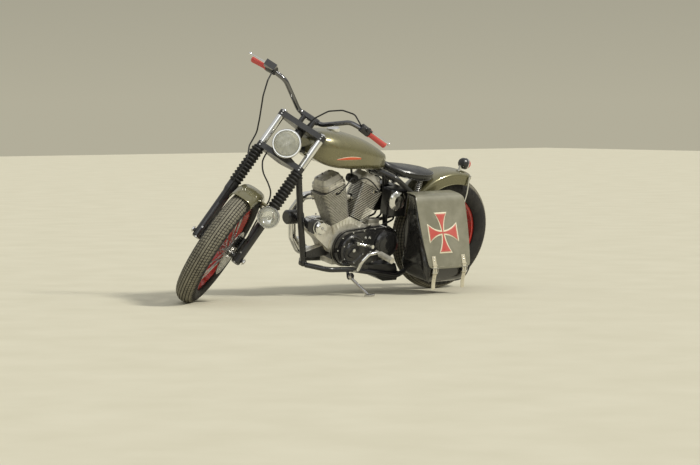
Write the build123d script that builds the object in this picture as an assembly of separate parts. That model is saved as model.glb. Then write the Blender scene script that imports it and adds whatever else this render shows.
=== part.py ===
from build123d import *
import math
import os

# A rigid-frame chopper with a V-twin engine, leaning on its side stand with the bars on the left stop.
# It is modelled upright and steered straight, then turned and leaned as it parks.
# Upright axes: +X forward, +Y to the rider's left, +Z up, origin on the floor below the rear axle.
# All sizes are in millimetres and all angles in degrees.

# Wheels and steering geometry
WHEELBASE = 1538
REAR_TYRE_RADIUS = 320
REAR_TYRE_SECTION = 65
REAR_RIM_RADIUS = REAR_TYRE_RADIUS - 117
REAR_RIM_WIDTH = 80
FRONT_TYRE_RADIUS = 340
FRONT_TYRE_SECTION = 55
FRONT_RIM_RADIUS = FRONT_TYRE_RADIUS - 99
FRONT_RIM_WIDTH = 62
REAR_HUB_HALF = 60
FRONT_HUB_HALF = 66
RIM_SEAT = 10
SPOKES = 40
SPOKE_RADIUS = 2.4
BRAKE_DISC_RADIUS = 128
RAKE = 36.4
FORK_OFFSET = 49.4
AXLE_DROP = 535
LEAN = 12
STEERING_STOP = 43.6
STEERING_TRAVEL = 87

# Frame tubes
NECK_RADIUS = 26
NECK_LOW = 46
NECK_HIGH = 208
MAIN_TUBE_RADIUS = 17
RAIL_RADIUS = 14
RAIL_HALF_SPAN = 120
STAY_HALF_SPAN = 130
BACKBONE_REAR = (560, 0, 710)
SEAT_POST_TOP = (446, 0, 655)
SEAT_POST_FOOT = (357, 0, 133)
RAIL_LEVEL_FRONT = 178
RAIL_LEVEL_REAR = 122
RAIL_BEND_X = 378
AXLE_PLATE_THICKNESS = 8

# Engine
CRANK_X = 700
CRANK_Z = 290
MAINSHAFT_X = 470
MAINSHAFT_Z = 312
V_HALF_ANGLE = 22.5
CASE_RADIUS = 112
CASE_HALF_WIDTH = 58
DECK_HEIGHT = 150
HEAD_TOP = 345
ROCKER_TOP = 404
FIN_PITCH = 8.5
FIN_THICKNESS = 3
FIN_HALF_LOW = 57
FIN_HALF_HIGH = 82
FIN_CORNER = 24
FIN_SIDE = 72
BARREL_RADIUS = 50
GENERATOR_X = 920
GENERATOR_Z = 410
GENERATOR_RADIUS = 37
CYLINDER_GAP = 4
FIN_FLAT = 52
PORT_REACH = 90
MANIFOLD_HEIGHT = 255
MANIFOLD_HALF = 22.9
PORT_HEIGHT = 309
PORT_RADIUS = 26
PORT_TURN_FRONT = -42
PORT_TURN_REAR = -122
PUSHROD_Y = -62
PRIMARY_WIDTH = 50
PRIMARY_FRONT_RADIUS = 94
PRIMARY_REAR_RADIUS = 90
PRIMARY_DROP = 7
SHIFT_SHAFT = (698, 326)

# Fork
TUBE_HALF_SPAN = 121
TUBE_RADIUS = 20
LOWER_TREE = 27
UPPER_TREE = 227
TREE_THICKNESS = 30
TREE_END = TUBE_HALF_SPAN + 21
BOOT_BOTTOM = -220
BOOT_RADIUS = 34
BOOT_RIBS = 11
LEG_RADIUS = 25
LEG_END = -564
STEM_RADIUS = 14
RUNNING_GAP = 0.3

# Tank, seat and fenders
TANK_TUNNEL_RADIUS = MAIN_TUBE_RADIUS + 0.3
FUEL_CAP_BASE = (836, 0, 906)
FUEL_CAP_AXIS = (0.1, 0, 0.995)
FUEL_CAP_RADIUS = 34
FENDER_WALL = 3
SPRING_RADIUS = 17
SPRING_TURNS = 6
REAR_FENDER_RADIUS = REAR_TYRE_RADIUS + 38
REAR_FENDER_HALF_WIDTH = 88
REAR_FENDER_SKIRT = 70
REAR_FENDER_START = 24
REAR_FENDER_END = 107
FRONT_FENDER_RADIUS = FRONT_TYRE_RADIUS + 12
FRONT_FENDER_HALF_WIDTH = 62
FRONT_FENDER_SKIRT = 42
FRONT_FENDER_START = 40
FRONT_FENDER_END = 116

# Final drive
CHAIN_LINE = -93
CHAIN_PITCH = 15.875
REAR_TEETH = 48
ENGINE_TEETH = 22
CHAIN_WIDTH = 16
PLATE_HEIGHT = 14

# Foot pegs
PEG_RADIUS = 16
PEG_RUBBER = 96

# Side stand
STAND_PIVOT = (718, 150, 150)
STAND_AXIS = (-0.382, 0.841, 0.385)
STAND_FOOT_XY = (692, 277)
STAND_EYE_RADIUS = 17
STAND_EYE_THICKNESS = 16
STAND_PIN_RADIUS = 6
STAND_ROOT_RADIUS = 7.5
STAND_LEG_RADIUS = 8.5
STAND_FOLD = 86

# Saddlebag
BAG_FRONT = 405
BAG_REAR = 75
BAG_TOP = 628
BAG_BOTTOM = 138
BAG_DEPTH_TOP = 68
BAG_DEPTH_BOTTOM = 246
FLAP_THICKNESS = 6
FLAP_TOP = (64, 414)
FLAP_FOOT = (100, 388)
FLAP_LOW = 232
STRAP_X = (352, 146)
BAG_BACK = STAY_HALF_SPAN + RAIL_RADIUS + RUNNING_GAP


# Helpers for placing and shaping

def side_plane(y):
    """A drawing plane at the given Y, whose axes are the bike's X and Z, looking from the left."""
    return Plane(origin=(0, y, 0), x_dir=(1, 0, 0), z_dir=(0, -1, 0))


def slab(profile, y_low, y_high):
    """A profile drawn in X and Z, made solid from y_low to y_high."""
    return extrude(side_plane(y_high) * profile, amount=y_high - y_low, dir=(0, -1, 0))


def outline(*points):
    return make_face(Polyline(*points, close=True))


def disc_at(x, y, radius):
    return Pos(x, y) * Circle(radius)


def hull(*circles):
    """The shape a belt makes round circles given as (x, y, radius)."""
    edges = ShapeList()
    for x, y, radius in circles:
        edges += disc_at(x, y, radius).edges()
    return make_hull(edges)


def rod(start, end, radius, end_radius=None):
    start, end = Vector(*start), Vector(*end)
    along = end - start
    if end_radius is None:
        shape = Cylinder(radius, along.length, align=(Align.CENTER, Align.CENTER, Align.MIN))
    else:
        shape = Cone(radius, end_radius, along.length, align=(Align.CENTER, Align.CENTER, Align.MIN))
    return Plane(origin=start, z_dir=along.normalized()).location * shape


def bent_tube(points, radius, bends):
    path = FilletPolyline(*points, radius=bends)
    section = Plane(origin=path @ 0, z_dir=path % 0) * Circle(radius)
    return sweep(section, path=path)


def turned(points, origin=(0, 0, 0), axis=(0, 0, 1)):
    """A lathe shape from (radius, height) points about an axis through origin."""
    face = Plane.XZ * outline(*points)
    shape = revolve(face, Axis.Z)
    return Plane(origin=origin, z_dir=axis).location * shape


def fused(shapes):
    whole = shapes[0]
    for shape in shapes[1:]:
        whole = whole + shape
    return whole


def mirrored_y(shape):
    return mirror(shape, about=Plane.XZ)


def place(location, point):
    return (location * Pos(*point)).position


# The fork frame: local x is forward, y is left and z runs up the steering axis from its origin
rake = math.radians(RAKE)
axle_rise = FRONT_TYRE_RADIUS + AXLE_DROP * math.cos(rake) - FORK_OFFSET * math.sin(rake)
axle_back = WHEELBASE - AXLE_DROP * math.sin(rake) - FORK_OFFSET * math.cos(rake)
NECK_ORIGIN = (axle_back, 0, axle_rise)
STEERING_AXIS = (-math.sin(rake), 0, math.cos(rake))
FORK_FORWARD = (math.cos(rake), 0, math.sin(rake))
FORK_FRAME = Plane(origin=NECK_ORIGIN, x_dir=FORK_FORWARD, z_dir=STEERING_AXIS).location
STEERED = FORK_FRAME * Rotation(0, 0, STEERING_STOP)
FRONT_AXLE = (FORK_OFFSET, 0, -AXLE_DROP)
REAR_AXLE = (0, 0, REAR_TYRE_RADIUS)


def tyre_low_point(centre, side, radius, section):
    """The height of a leaning round-section tyre's lowest point."""
    axle_tilt = (side - centre).normalized().Z
    return centre.Z - (radius - section) * math.sqrt(1 - axle_tilt ** 2) - section


def parked():
    """Lean to the stand, then pitch and lift the bike until both tyres touch the floor."""
    pitch = 0
    for _ in range(12):
        turn = Rotation(-LEAN, pitch, 0)
        front = tyre_low_point(
            place(turn * STEERED, FRONT_AXLE),
            place(turn * STEERED, (FORK_OFFSET, 1, -AXLE_DROP)),
            FRONT_TYRE_RADIUS,
            FRONT_TYRE_SECTION,
        )
        rear = tyre_low_point(
            place(turn, REAR_AXLE),
            place(turn, (0, 1, REAR_TYRE_RADIUS)),
            REAR_TYRE_RADIUS,
            REAR_TYRE_SECTION,
        )
        pitch += math.degrees((front - rear) / WHEELBASE)
    return Pos(0, 0, -rear) * turn


PARKED = parked()
FLOOR_UP = place(PARKED.inverse(), (0, 0, 1)) - place(PARKED.inverse(), (0, 0, 0))


def on_floor(x, y):
    """The upright-frame point at x and y that lies on the floor once the bike is parked."""
    low = place(PARKED, (x, y, 0)).Z
    rise = place(PARKED, (x, y, 1)).Z - low
    return Vector(x, y, -low / rise)


def neck_point(forward, height):
    return place(FORK_FRAME, (forward, 0, height))


# Wheels

def tyre(radius, section, rim_radius):
    centre = radius - section
    inner = rim_radius + RIM_SEAT
    ring = Pos(centre, 0) * Circle(section)
    keep = Pos(inner, 0) * Rectangle(2 * section + 60, 2 * section, align=(Align.MIN, Align.CENTER))
    return revolve(Plane.XZ * (ring & keep), Axis.Z)


def wire_wheel(rim_radius, rim_width, hub_half, flange_radius):
    seat = rim_radius + RIM_SEAT
    half = rim_width / 2
    well = rim_radius - 8
    lip = rim_radius + 2
    rim = turned([
        (seat, -half), (seat, -half + 4), (lip, -half + 8), (well + 4, -half / 3),
        (well + 4, half / 3), (lip, half - 8), (seat, half - 4), (seat, half),
        (lip - 6, half), (well - 2, half / 3), (well - 2, -half / 3), (lip - 6, -half),
    ])
    flange = hub_half - 8
    hub = turned([
        (10, -hub_half), (24, -hub_half), (24, -flange - 5), (flange_radius, -flange - 3),
        (flange_radius, -flange + 3), (28, -flange + 8), (28, flange - 8), (flange_radius, flange - 3),
        (flange_radius, flange + 3), (24, flange + 5), (24, hub_half), (10, hub_half),
    ])
    spokes = []
    for index in range(SPOKES):
        side = 1 if index % 2 else -1
        lead = 1 if index % 4 < 2 else -1
        rim_angle = 360 * index / SPOKES
        hub_angle = rim_angle + 62 * lead
        start = Vector(flange_radius - 5, 0, side * flange).rotate(Axis.Z, hub_angle)
        end = Vector(well, 0, side * 6).rotate(Axis.Z, rim_angle)
        along = end - start
        section = Plane(origin=start, z_dir=along.normalized()) * RegularPolygon(SPOKE_RADIUS, 4)
        spokes.append(extrude(section, amount=along.length))
    return rim + hub + spokes


def on_axle(shape, centre):
    """Stand a wheel built about Z on its axle, which runs across the bike."""
    return Plane(origin=centre, x_dir=(1, 0, 0), z_dir=(0, 1, 0)).location * shape


def pitch_radius(teeth):
    return CHAIN_PITCH / (2 * math.sin(math.pi / teeth))


def sprocket(teeth, thickness, bore):
    root = pitch_radius(teeth) - 5
    blank = Circle(root)
    for index in range(teeth):
        angle = 360 * (index + 0.5) / teeth
        tooth = Pos(root - 1, 0) * Trapezoid(8, 7, 70, align=(Align.CENTER, Align.MIN), rotation=-90)
        blank = blank + Rot(0, 0, angle) * tooth
    return Pos(0, 0, -thickness / 2) * extrude(blank - Circle(bore), amount=thickness)


def rear_wheel():
    wheel = wire_wheel(REAR_RIM_RADIUS, REAR_RIM_WIDTH, REAR_HUB_HALF, 46)
    drum = turned([(20, -46), (96, -50), (102, -56), (102, -96), (92, -96), (92, -60), (20, -56)])
    drive = Pos(0, 0, CHAIN_LINE) * sprocket(REAR_TEETH, 6, 100)
    return on_axle(wheel + drum + drive, REAR_AXLE)


def front_wheel():
    wheel = wire_wheel(FRONT_RIM_RADIUS, FRONT_RIM_WIDTH, FRONT_HUB_HALF, 40)
    disc = Pos(0, 0, 70) * (Cylinder(BRAKE_DISC_RADIUS, 5) + Cylinder(34, 8) - Cylinder(10, 8))
    return on_axle(wheel + disc, FRONT_AXLE)


# Frame

def backbone_beam():
    return rod(neck_point(-8, NECK_HIGH - 92), BACKBONE_REAR, MAIN_TUBE_RADIUS)


def frame_backbone():
    neck = rod(neck_point(0, NECK_LOW), neck_point(0, NECK_HIGH), NECK_RADIUS)
    bore = rod(neck_point(0, NECK_LOW - 5), neck_point(0, NECK_HIGH + 5), STEM_RADIUS + RUNNING_GAP)
    return neck + backbone_beam() - bore


def downtube_lug(clearance=0):
    return Pos(932, 0, 196) * Sphere(MAIN_TUBE_RADIUS + 3 + clearance)


def frame_downtube():
    path = [neck_point(-24, NECK_LOW + 14), (1034, 0, 694), (991, 0, 460), (932, 0, 206)]
    tube = bent_tube(path, MAIN_TUBE_RADIUS, [70, 160])
    neck_space = rod(neck_point(0, 0), neck_point(0, NECK_HIGH), NECK_RADIUS)
    return tube + downtube_lug() - neck_space


def frame_rail(side):
    y = RAIL_HALF_SPAN
    path = [
        (932, 18, 190), (850, y, 184), (CRANK_X, y, RAIL_LEVEL_FRONT),
        (RAIL_BEND_X, y, RAIL_LEVEL_REAR), (16, y, REAR_TYRE_RADIUS - 14),
    ]
    rail = bent_tube(path, RAIL_RADIUS, [70, 300, 90]) - downtube_lug(RUNNING_GAP)
    axle_end = (0, y, REAR_TYRE_RADIUS)
    nut = rod(axle_end, (0, y + 22, REAR_TYRE_RADIUS), 15)
    axle = rod((0, 0, REAR_TYRE_RADIUS), axle_end, 10 - RUNNING_GAP)
    whole = rail + axle_plate() + nut + axle
    if side < 0:
        return mirrored_y(whole)
    spacer = rod((0, REAR_HUB_HALF + 1, REAR_TYRE_RADIUS), axle_end, 15)
    return whole + spacer + stand_bracket()


def stand_bracket():
    """The lug under the left rail that the side stand turns on, with its pin."""
    pivot, axis = Vector(*STAND_PIVOT), Vector(*STAND_AXIS).normalized()
    inner = pivot - axis * (STAND_EYE_THICKNESS / 2 + RUNNING_GAP)
    lug = rod(inner - axis * 10, inner, STAND_EYE_RADIUS)
    neck = rod(inner - axis * 10, (pivot.X + 4, RAIL_HALF_SPAN - 2, RAIL_LEVEL_FRONT), 8)
    pin = rod(inner, pivot + axis * (STAND_EYE_THICKNESS / 2 + 4), STAND_PIN_RADIUS)
    head = rod(pivot + axis * (STAND_EYE_THICKNESS / 2 + RUNNING_GAP), pivot + axis * (STAND_EYE_THICKNESS / 2 + 5), 10)
    return lug + neck + pin + head


def axle_plate():
    y = RAIL_HALF_SPAN
    shape = hull((0, REAR_TYRE_RADIUS, 30), (44, REAR_TYRE_RADIUS - 22, 20), (34, REAR_TYRE_RADIUS + 26, 16))
    return slab(shape, y - AXLE_PLATE_THICKNESS / 2, y + AXLE_PLATE_THICKNESS / 2)


def stay_tube(radius):
    path = [
        (556, 14, BACKBONE_REAR[2] - 4), (470, STAY_HALF_SPAN, 668),
        (28, STAY_HALF_SPAN - 2, REAR_TYRE_RADIUS + 36),
    ]
    return bent_tube(path, radius, [60])


def frame_stay(side):
    stay = stay_tube(RAIL_RADIUS) - axle_plate() - backbone_beam()
    return stay if side > 0 else mirrored_y(stay)


def frame_seat_post():
    post = rod(SEAT_POST_TOP, SEAT_POST_FOOT, RAIL_RADIUS)
    top_x, top_z = SEAT_POST_TOP[0], SEAT_POST_TOP[2] - 3
    foot_x, foot_z = SEAT_POST_FOOT[0], SEAT_POST_FOOT[2] + 1
    top_bar = rod((top_x, -STAY_HALF_SPAN + 18, top_z), (top_x, STAY_HALF_SPAN - 18, top_z), 11)
    foot_bar = rod((foot_x, -RAIL_HALF_SPAN + 14, foot_z), (foot_x, RAIL_HALF_SPAN - 14, foot_z), 11)
    return post + top_bar + foot_bar


# Engine

def cylinder_frame(lean):
    """A frame at the crank whose z axis runs up the front (+1) or rear (-1) cylinder."""
    angle = math.radians(V_HALF_ANGLE) * lean
    up = (math.sin(angle), 0, math.cos(angle))
    return Plane(origin=(CRANK_X, 0, CRANK_Z), x_dir=(math.cos(angle), 0, -math.sin(angle)), z_dir=up).location


def crankcase():
    body = slab(hull((CRANK_X, CRANK_Z, CASE_RADIUS), (MAINSHAFT_X + 12, MAINSHAFT_Z, 66),
                     (MAINSHAFT_X + 30, MAINSHAFT_Z + 44, 46), (MAINSHAFT_X + 8, CRANK_Z - 52, 30)),
                -CASE_HALF_WIDTH, CASE_HALF_WIDTH)
    cradle = slab(hull((CRANK_X + 60, CRANK_Z + 20, 60), (GENERATOR_X - 10, GENERATOR_Z - 8, 42)), -20, 48)
    case = body + cradle
    deck = Pos(0, 4, 0) * RectangleRounded(2 * FIN_HALF_LOW + 4, 2 * CASE_HALF_WIDTH - 8, 12)
    for lean in (1, -1):
        case = case + cylinder_frame(lean) * Pos(0, 0, 60) * extrude(deck, amount=DECK_HEIGHT - 60)
    for turn in range(-36, 37, 9):
        rib = Rotation(0, turn, 0) * Pos(0, CASE_HALF_WIDTH + 2, 135) * Box(4, 8, 26)
        case = case + Pos(CRANK_X, 0, CRANK_Z) * rib
    generator_bore = rod((GENERATOR_X, -100, GENERATOR_Z), (GENERATOR_X, 100, GENERATOR_Z), GENERATOR_RADIUS + RUNNING_GAP)
    sump = slab(outline((CRANK_X - 90, 190), (CRANK_X + 80, 190), (CRANK_X + 80, 240), (CRANK_X - 90, 240)), -50, 50)
    mount = slab(outline((800, 236), (905, 226), (935, 232), (940, 262), (800, 300)), -22, 22)
    downtube = frame_downtube()
    return case + sump + mount - generator_bore - downtube


def port_point(lean, beyond):
    """A point on an exhaust port's axis, the given distance beyond its face."""
    turn = math.radians(PORT_TURN_FRONT if lean > 0 else PORT_TURN_REAR)
    reach = PORT_REACH + beyond
    return place(cylinder_frame(lean), (reach * math.cos(turn), reach * math.sin(turn), PORT_HEIGHT))


def own_half(lean):
    """The space on one cylinder's side of the gap between the two."""
    half = Box(400, 400, 600, align=(Align.MIN if lean > 0 else Align.MAX, Align.CENTER, Align.MIN))
    return Pos(CRANK_X + lean * CYLINDER_GAP / 2, 0, CRANK_Z) * half


def finned_cylinder(lean):
    """A barrel and head with square fins that widen upwards, flat on the pushrod side."""
    fins = []
    height = DECK_HEIGHT + 8
    while height + FIN_THICKNESS < HEAD_TOP - 4:
        share = (height - DECK_HEIGHT) / (HEAD_TOP - DECK_HEIGHT)
        half = FIN_HALF_LOW + (FIN_HALF_HIGH - FIN_HALF_LOW) * share
        fin = RectangleRounded(2 * half, FIN_SIDE + FIN_FLAT, FIN_CORNER)
        fins.append(Pos(0, (FIN_SIDE - FIN_FLAT) / 2, height) * extrude(fin, amount=FIN_THICKNESS))
        height += FIN_PITCH
    barrel = Pos(0, 0, DECK_HEIGHT) * Cylinder(
        BARREL_RADIUS, HEAD_TOP - DECK_HEIGHT, align=(Align.CENTER, Align.CENTER, Align.MIN))
    flat = Pos(0, -FIN_FLAT, 0) * Box(400, 400, 800, align=(Align.CENTER, Align.MIN, Align.MIN))
    whole = cylinder_frame(lean) * ((barrel + fins) & flat)
    core = place(cylinder_frame(lean), (0, 0, PORT_HEIGHT))
    inlet_end = (CRANK_X + lean * (MANIFOLD_HALF + RUNNING_GAP), 0, CRANK_Z + MANIFOLD_HEIGHT)
    inlet_root = (CRANK_X + lean * 90, 0, CRANK_Z + MANIFOLD_HEIGHT)
    return (whole & own_half(lean)) + rod(inlet_root, inlet_end, 19) + rod(core, port_point(lean, 0), PORT_RADIUS)


def rocker_box(lean):
    """A head cover in three layers, set over towards the middle of the V."""
    inward = -12 * lean
    levels = ((HEAD_TOP, 14, 152, 136, 0), (HEAD_TOP + 14, 18, 146, 128, 0), (HEAD_TOP + 32, ROCKER_TOP - HEAD_TOP - 32, 138, 116, 22))
    layers = []
    for low, tall, long, wide, slope in levels:
        layer = extrude(RectangleRounded(long, wide, 32), amount=tall, taper=slope)
        layers.append(cylinder_frame(lean) * Pos(inward, 0, low) * layer)
    return fused(layers) & own_half(lean)


def primary_cover():
    inner = CASE_HALF_WIDTH
    outer = inner + PRIMARY_WIDTH
    front = (CRANK_X, CRANK_Z - PRIMARY_DROP)
    rear = (MAINSHAFT_X, MAINSHAFT_Z - PRIMARY_DROP)
    flange = slab(hull((*front, PRIMARY_FRONT_RADIUS + 4), (*rear, PRIMARY_REAR_RADIUS + 4)), inner, inner + 16)
    cover = slab(hull((*front, PRIMARY_FRONT_RADIUS), (*rear, PRIMARY_REAR_RADIUS)), inner + 16, outer - 8)
    face = slab(hull((*front, PRIMARY_FRONT_RADIUS - 8), (*rear, PRIMARY_REAR_RADIUS - 8)), outer - 8, outer)
    ring = [(0, 0), (80, 0), (80, 8), (75, 13), (67, 13), (62, 8), (44, 8), (38, 16), (0, 20)]
    dome = [(0, 0), (78, 0), (77, 8), (70, 20), (54, 29), (30, 34), (0, 35)]
    front_ring = turned(ring, (front[0], outer, front[1]), (0, 1, 0))
    rear_dome = turned(dome, (rear[0], outer, rear[1]), (0, 1, 0))
    x, z = SHIFT_SHAFT
    hub = rod((x, outer, z), (x, outer + 26, z), 12)
    return flange + cover + face + front_ring + rear_dome + hub


def gear_cover():
    outer = -CASE_HALF_WIDTH
    cover = slab(hull((CRANK_X + 4, CRANK_Z + 4, 84), (CRANK_X + 120, CRANK_Z + 92, 42), (CRANK_X - 70, CRANK_Z + 60, 60)),
                 outer - 46, outer)
    points = turned([(0, 0), (46, 0), (44, 10), (0, 12)], (CRANK_X + 10, outer - 46, CRANK_Z + 30), (0, -1, 0))
    sprocket_cover = slab(hull((MAINSHAFT_X, MAINSHAFT_Z, 72), (CRANK_X - 120, CRANK_Z + 30, 62)), -112, -104)
    spacer = rod((MAINSHAFT_X + 86, outer, MAINSHAFT_Z - 6), (MAINSHAFT_X + 86, -104, MAINSHAFT_Z - 6), 10)
    whole = cover + points + sprocket_cover + spacer
    for lean, base_shift, top_shift in ((1, 44, -8), (1, 18, -34), (-1, -18, 34), (-1, -44, 8)):
        top = place(cylinder_frame(lean), (top_shift, PUSHROD_Y, HEAD_TOP - 3))
        base = Vector(CRANK_X + base_shift, outer - 22, CRANK_Z + 112)
        whole = whole + rod(base - Vector(0, 0, 60), base, 14) + rod(base, top, 8)
    return whole


def generator():
    x, z, outer = GENERATOR_X, GENERATOR_Z, 84
    body = rod((x, -18, z), (x, outer, z), GENERATOR_RADIUS)
    cap = turned([(0, 0), (36, 0), (36, 18), (30, 28), (0, 30)], (x, outer, z), (0, 1, 0))
    bracket = slab(outline((x + 27, z - 38), (x + 58, z - 22), (x + 58, z + 30), (x + 34, z + 42), (x + 14, z + 38)), 60, 82)
    return body + cap + bracket


def oil_filter():
    x_front, y, z = 1034, -64, 434
    can = turned([(0, 0), (30, 0), (38, 8), (38, 92), (34, 98), (0, 98)], (x_front, y, z), (-1, 0, 0))
    bracket = rod((x_front - 46, y + 30, z), (x_front - 46, -MAIN_TUBE_RADIUS - RUNNING_GAP, z), 12)
    return can + bracket


def intake():
    x, z = CRANK_X, CRANK_Z + MANIFOLD_HEIGHT
    manifold = rod((x - MANIFOLD_HALF, 0, z), (x + MANIFOLD_HALF, 0, z), 15) + rod((x, 12, z), (x, -92, z), 17)
    carburettor = slab(outline((x - 26, z - 44), (x + 26, z - 44), (x + 30, z + 28), (x - 30, z + 28)), -150, -90)
    cleaner = turned([(0, 0), (62, 0), (66, 5), (66, 36), (58, 46), (0, 50)], (x, -150, z), (0, -1, 0))
    bowl = rod((x, -120, z - 62), (x, -120, z - 44), 22)
    return manifold + carburettor + cleaner + bowl


def exhaust_pipe(lean):
    mouth, beyond = port_point(lean, 0.5), port_point(lean, 46)
    if lean > 0:
        path = [mouth, beyond, (936, -142, 440), (908, -150, 300), (850, -154, 220), (560, -160, 212), (60, -176, 190)]
        bends = [28, 60, 60, 50, 300]
    else:
        path = [mouth, beyond, (506, -165, 500), (494, -165, 330), (420, -172, 268), (60, -186, 250)]
        bends = [24, 60, 60, 60]
    return bent_tube(path, 22, bends)


def oil_tank():
    block = Pos(404, 0, 528) * Box(128, 226, 146)
    block = fillet(block.edges().filter_by(Axis.Z), 34)
    block = fillet(block.faces().sort_by(Axis.Z)[-1].edges(), 14)
    slot = Pos(397.3, -27, 440) * Box(120, 54, 220, align=(Align.MIN, Align.MIN, Align.MIN))
    filler = Pos(372, -70, 598) * Cylinder(18, 26)
    return block - slot + filler


def tank_cover():
    """The round chromed cover on the oil tank's left side."""
    profile = [(0, 0), (50, 0), (55, 5), (55, 10), (48, 17), (30, 24), (0, 27)]
    return turned(profile, (437, 113 + RUNNING_GAP, 542), (0, 1, 0))


def battery_box():
    profile = outline((566, 150), (449, 92), (353, 92), (346, 128), (374, 186), (566, 186))
    box = slab(profile, -98, 98)
    post = rod(SEAT_POST_TOP, SEAT_POST_FOOT, RAIL_RADIUS + 3)
    bar = rod((357, -120, 134), (357, 120, 134), 14)
    return box - post - bar


# Body and trim

def tank_section(x, half_width, low, high, low_round, high_round):
    plane = Plane(origin=(x, 0, (low + high) / 2), x_dir=(0, 1, 0), z_dir=(1, 0, 0))
    face = Rectangle(2 * half_width, high - low)
    ordered = face.vertices().sort_by(Axis.Y)
    face = fillet(ordered[:2], low_round)
    ordered = face.vertices().sort_by(Axis.Y)
    face = fillet(ordered[-2:], high_round)
    return plane * face


# Tank sections, front to rear: x, half width, underside, top, lower rounding, upper rounding
TANK_SECTIONS = (
    (1022, 58, 804, 876, 20, 34),
    (985, 96, 771, 908, 34, 74),
    (850, 128, 729, 914, 40, 100),
    (660, 114, 713, 868, 40, 90),
    (545, 82, 704, 814, 30, 56),
    (486, 42, 706, 782, 18, 28),
)


def fuel_tank():
    sections = [tank_section(*row) for row in TANK_SECTIONS]
    body = loft(Sketch() + sections)
    line = Vector(*BACKBONE_REAR) - neck_point(-8, NECK_HIGH - 92)
    ahead = neck_point(-8, NECK_HIGH - 92) - line * 0.2
    behind = Vector(*BACKBONE_REAR) + line * 0.3
    tunnel = rod(ahead, behind, TANK_TUNNEL_RADIUS)
    below = Pos(0, 0, -70) * tunnel
    floor_slot = Box(700, 2 * TANK_TUNNEL_RADIUS, 140)
    slot_turn = math.degrees(math.atan2(-line.Z, -line.X))
    middle = (ahead + behind) * 0.5
    slot = Pos(middle.X, 0, middle.Z - 70) * Rotation(0, -slot_turn, 0) * floor_slot
    neck = Plane(origin=FUEL_CAP_BASE, z_dir=FUEL_CAP_AXIS).location * Cylinder(
        FUEL_CAP_RADIUS + RUNNING_GAP, 60, align=(Align.CENTER, Align.CENTER, Align.MIN))
    stays = stay_tube(RAIL_RADIUS + RUNNING_GAP)
    return body - tunnel - below - slot - neck - stays - mirrored_y(stays)


def fuel_cap():
    radius = FUEL_CAP_RADIUS
    return turned([(0, 0), (radius, 0), (radius, 20), (radius - 6, 26), (0, 29)], FUEL_CAP_BASE, FUEL_CAP_AXIS)


# Seat sections, front to rear: x, half width, underside, top, lower rounding, upper rounding
SEAT_SECTIONS = (
    (474, 24, 696, 738, 8, 12),
    (452, 46, 682, 732, 14, 18),
    (396, 94, 658, 716, 18, 26),
    (310, 120, 643, 706, 20, 28),
    (222, 112, 637, 697, 20, 28),
    (166, 76, 650, 690, 14, 18),
    (142, 34, 660, 684, 8, 10),
)


def seat():
    return loft(Sketch() + [tank_section(*row) for row in SEAT_SECTIONS])


def seat_springs():
    springs = []
    for side in (1, -1):
        low, high = Vector(296, side * 108, 574), Vector(262, side * 88, 650)
        length = (high - low).length
        step = length / SPRING_TURNS
        points = [(0, 0)]
        for index in range(SPRING_TURNS):
            start = index * step
            points += [(SPRING_RADIUS - 4, start), (SPRING_RADIUS, start + 0.25 * step)]
            points += [(SPRING_RADIUS, start + 0.6 * step), (SPRING_RADIUS - 4, start + 0.85 * step)]
        points += [(SPRING_RADIUS - 4, length), (0, length)]
        spring = turned(points, low, (high - low).normalized())
        stay_top, stay_foot = Vector(470, side * STAY_HALF_SPAN, 668), Vector(28, side * (STAY_HALF_SPAN - 2), 356)
        down = (stay_foot - stay_top).normalized()
        root = low + (high - low) * 0.1
        stay = stay_top + down * (root - stay_top).dot(down)
        lug = rod(root, stay + (root - stay).normalized() * (RAIL_RADIUS + RUNNING_GAP), 7)
        springs.append(spring + lug)
    return springs[0] + springs[1] - seat()


def fender_channel(radius, half_width, skirt, start, end):
    """A curved channel about Z, from the start to the end angle, open towards the wheel."""
    wall = FENDER_WALL
    shoulder = radius - 14
    outside = [
        (radius - skirt, -half_width), (shoulder - 6, -half_width), (radius, -half_width + 26), (radius, half_width - 26),
        (shoulder - 6, half_width), (radius - skirt, half_width),
    ]
    inside = [
        (radius - skirt, half_width - wall), (shoulder - 8, half_width - wall), (radius - wall, half_width - 27),
        (radius - wall, -half_width + 27), (shoulder - 8, -half_width + wall), (radius - skirt, -half_width + wall),
    ]
    face = Plane.XZ * outline(*outside, *inside)
    return Rotation(0, 0, start) * revolve(face, Axis.Z, revolution_arc=end - start)


def about_axle(shape, centre):
    """Stand a shape built about Z on an axle so that its angles count up from forward."""
    return Plane(origin=centre, x_dir=(1, 0, 0), z_dir=(0, -1, 0)).location * shape


def rear_fender():
    channel = fender_channel(REAR_FENDER_RADIUS, REAR_FENDER_HALF_WIDTH, REAR_FENDER_SKIRT, REAR_FENDER_START, REAR_FENDER_END)
    return about_axle(channel, REAR_AXLE)


def fender_struts():
    y = REAR_FENDER_HALF_WIDTH + 5 + RUNNING_GAP
    top = REAR_TYRE_RADIUS + REAR_FENDER_RADIUS - 26
    foot = REAR_TYRE_RADIUS + 24
    struts = []
    for side in (1, -1):
        struts.append(bent_tube([
            (-84, side * y, top), (-70, side * (y + 12), top - 92), (-24, side * 110, foot + 28), (-16, side * 110.6, foot)],
            5, [60, 60]))
    return struts[0] + struts[1]


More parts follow.
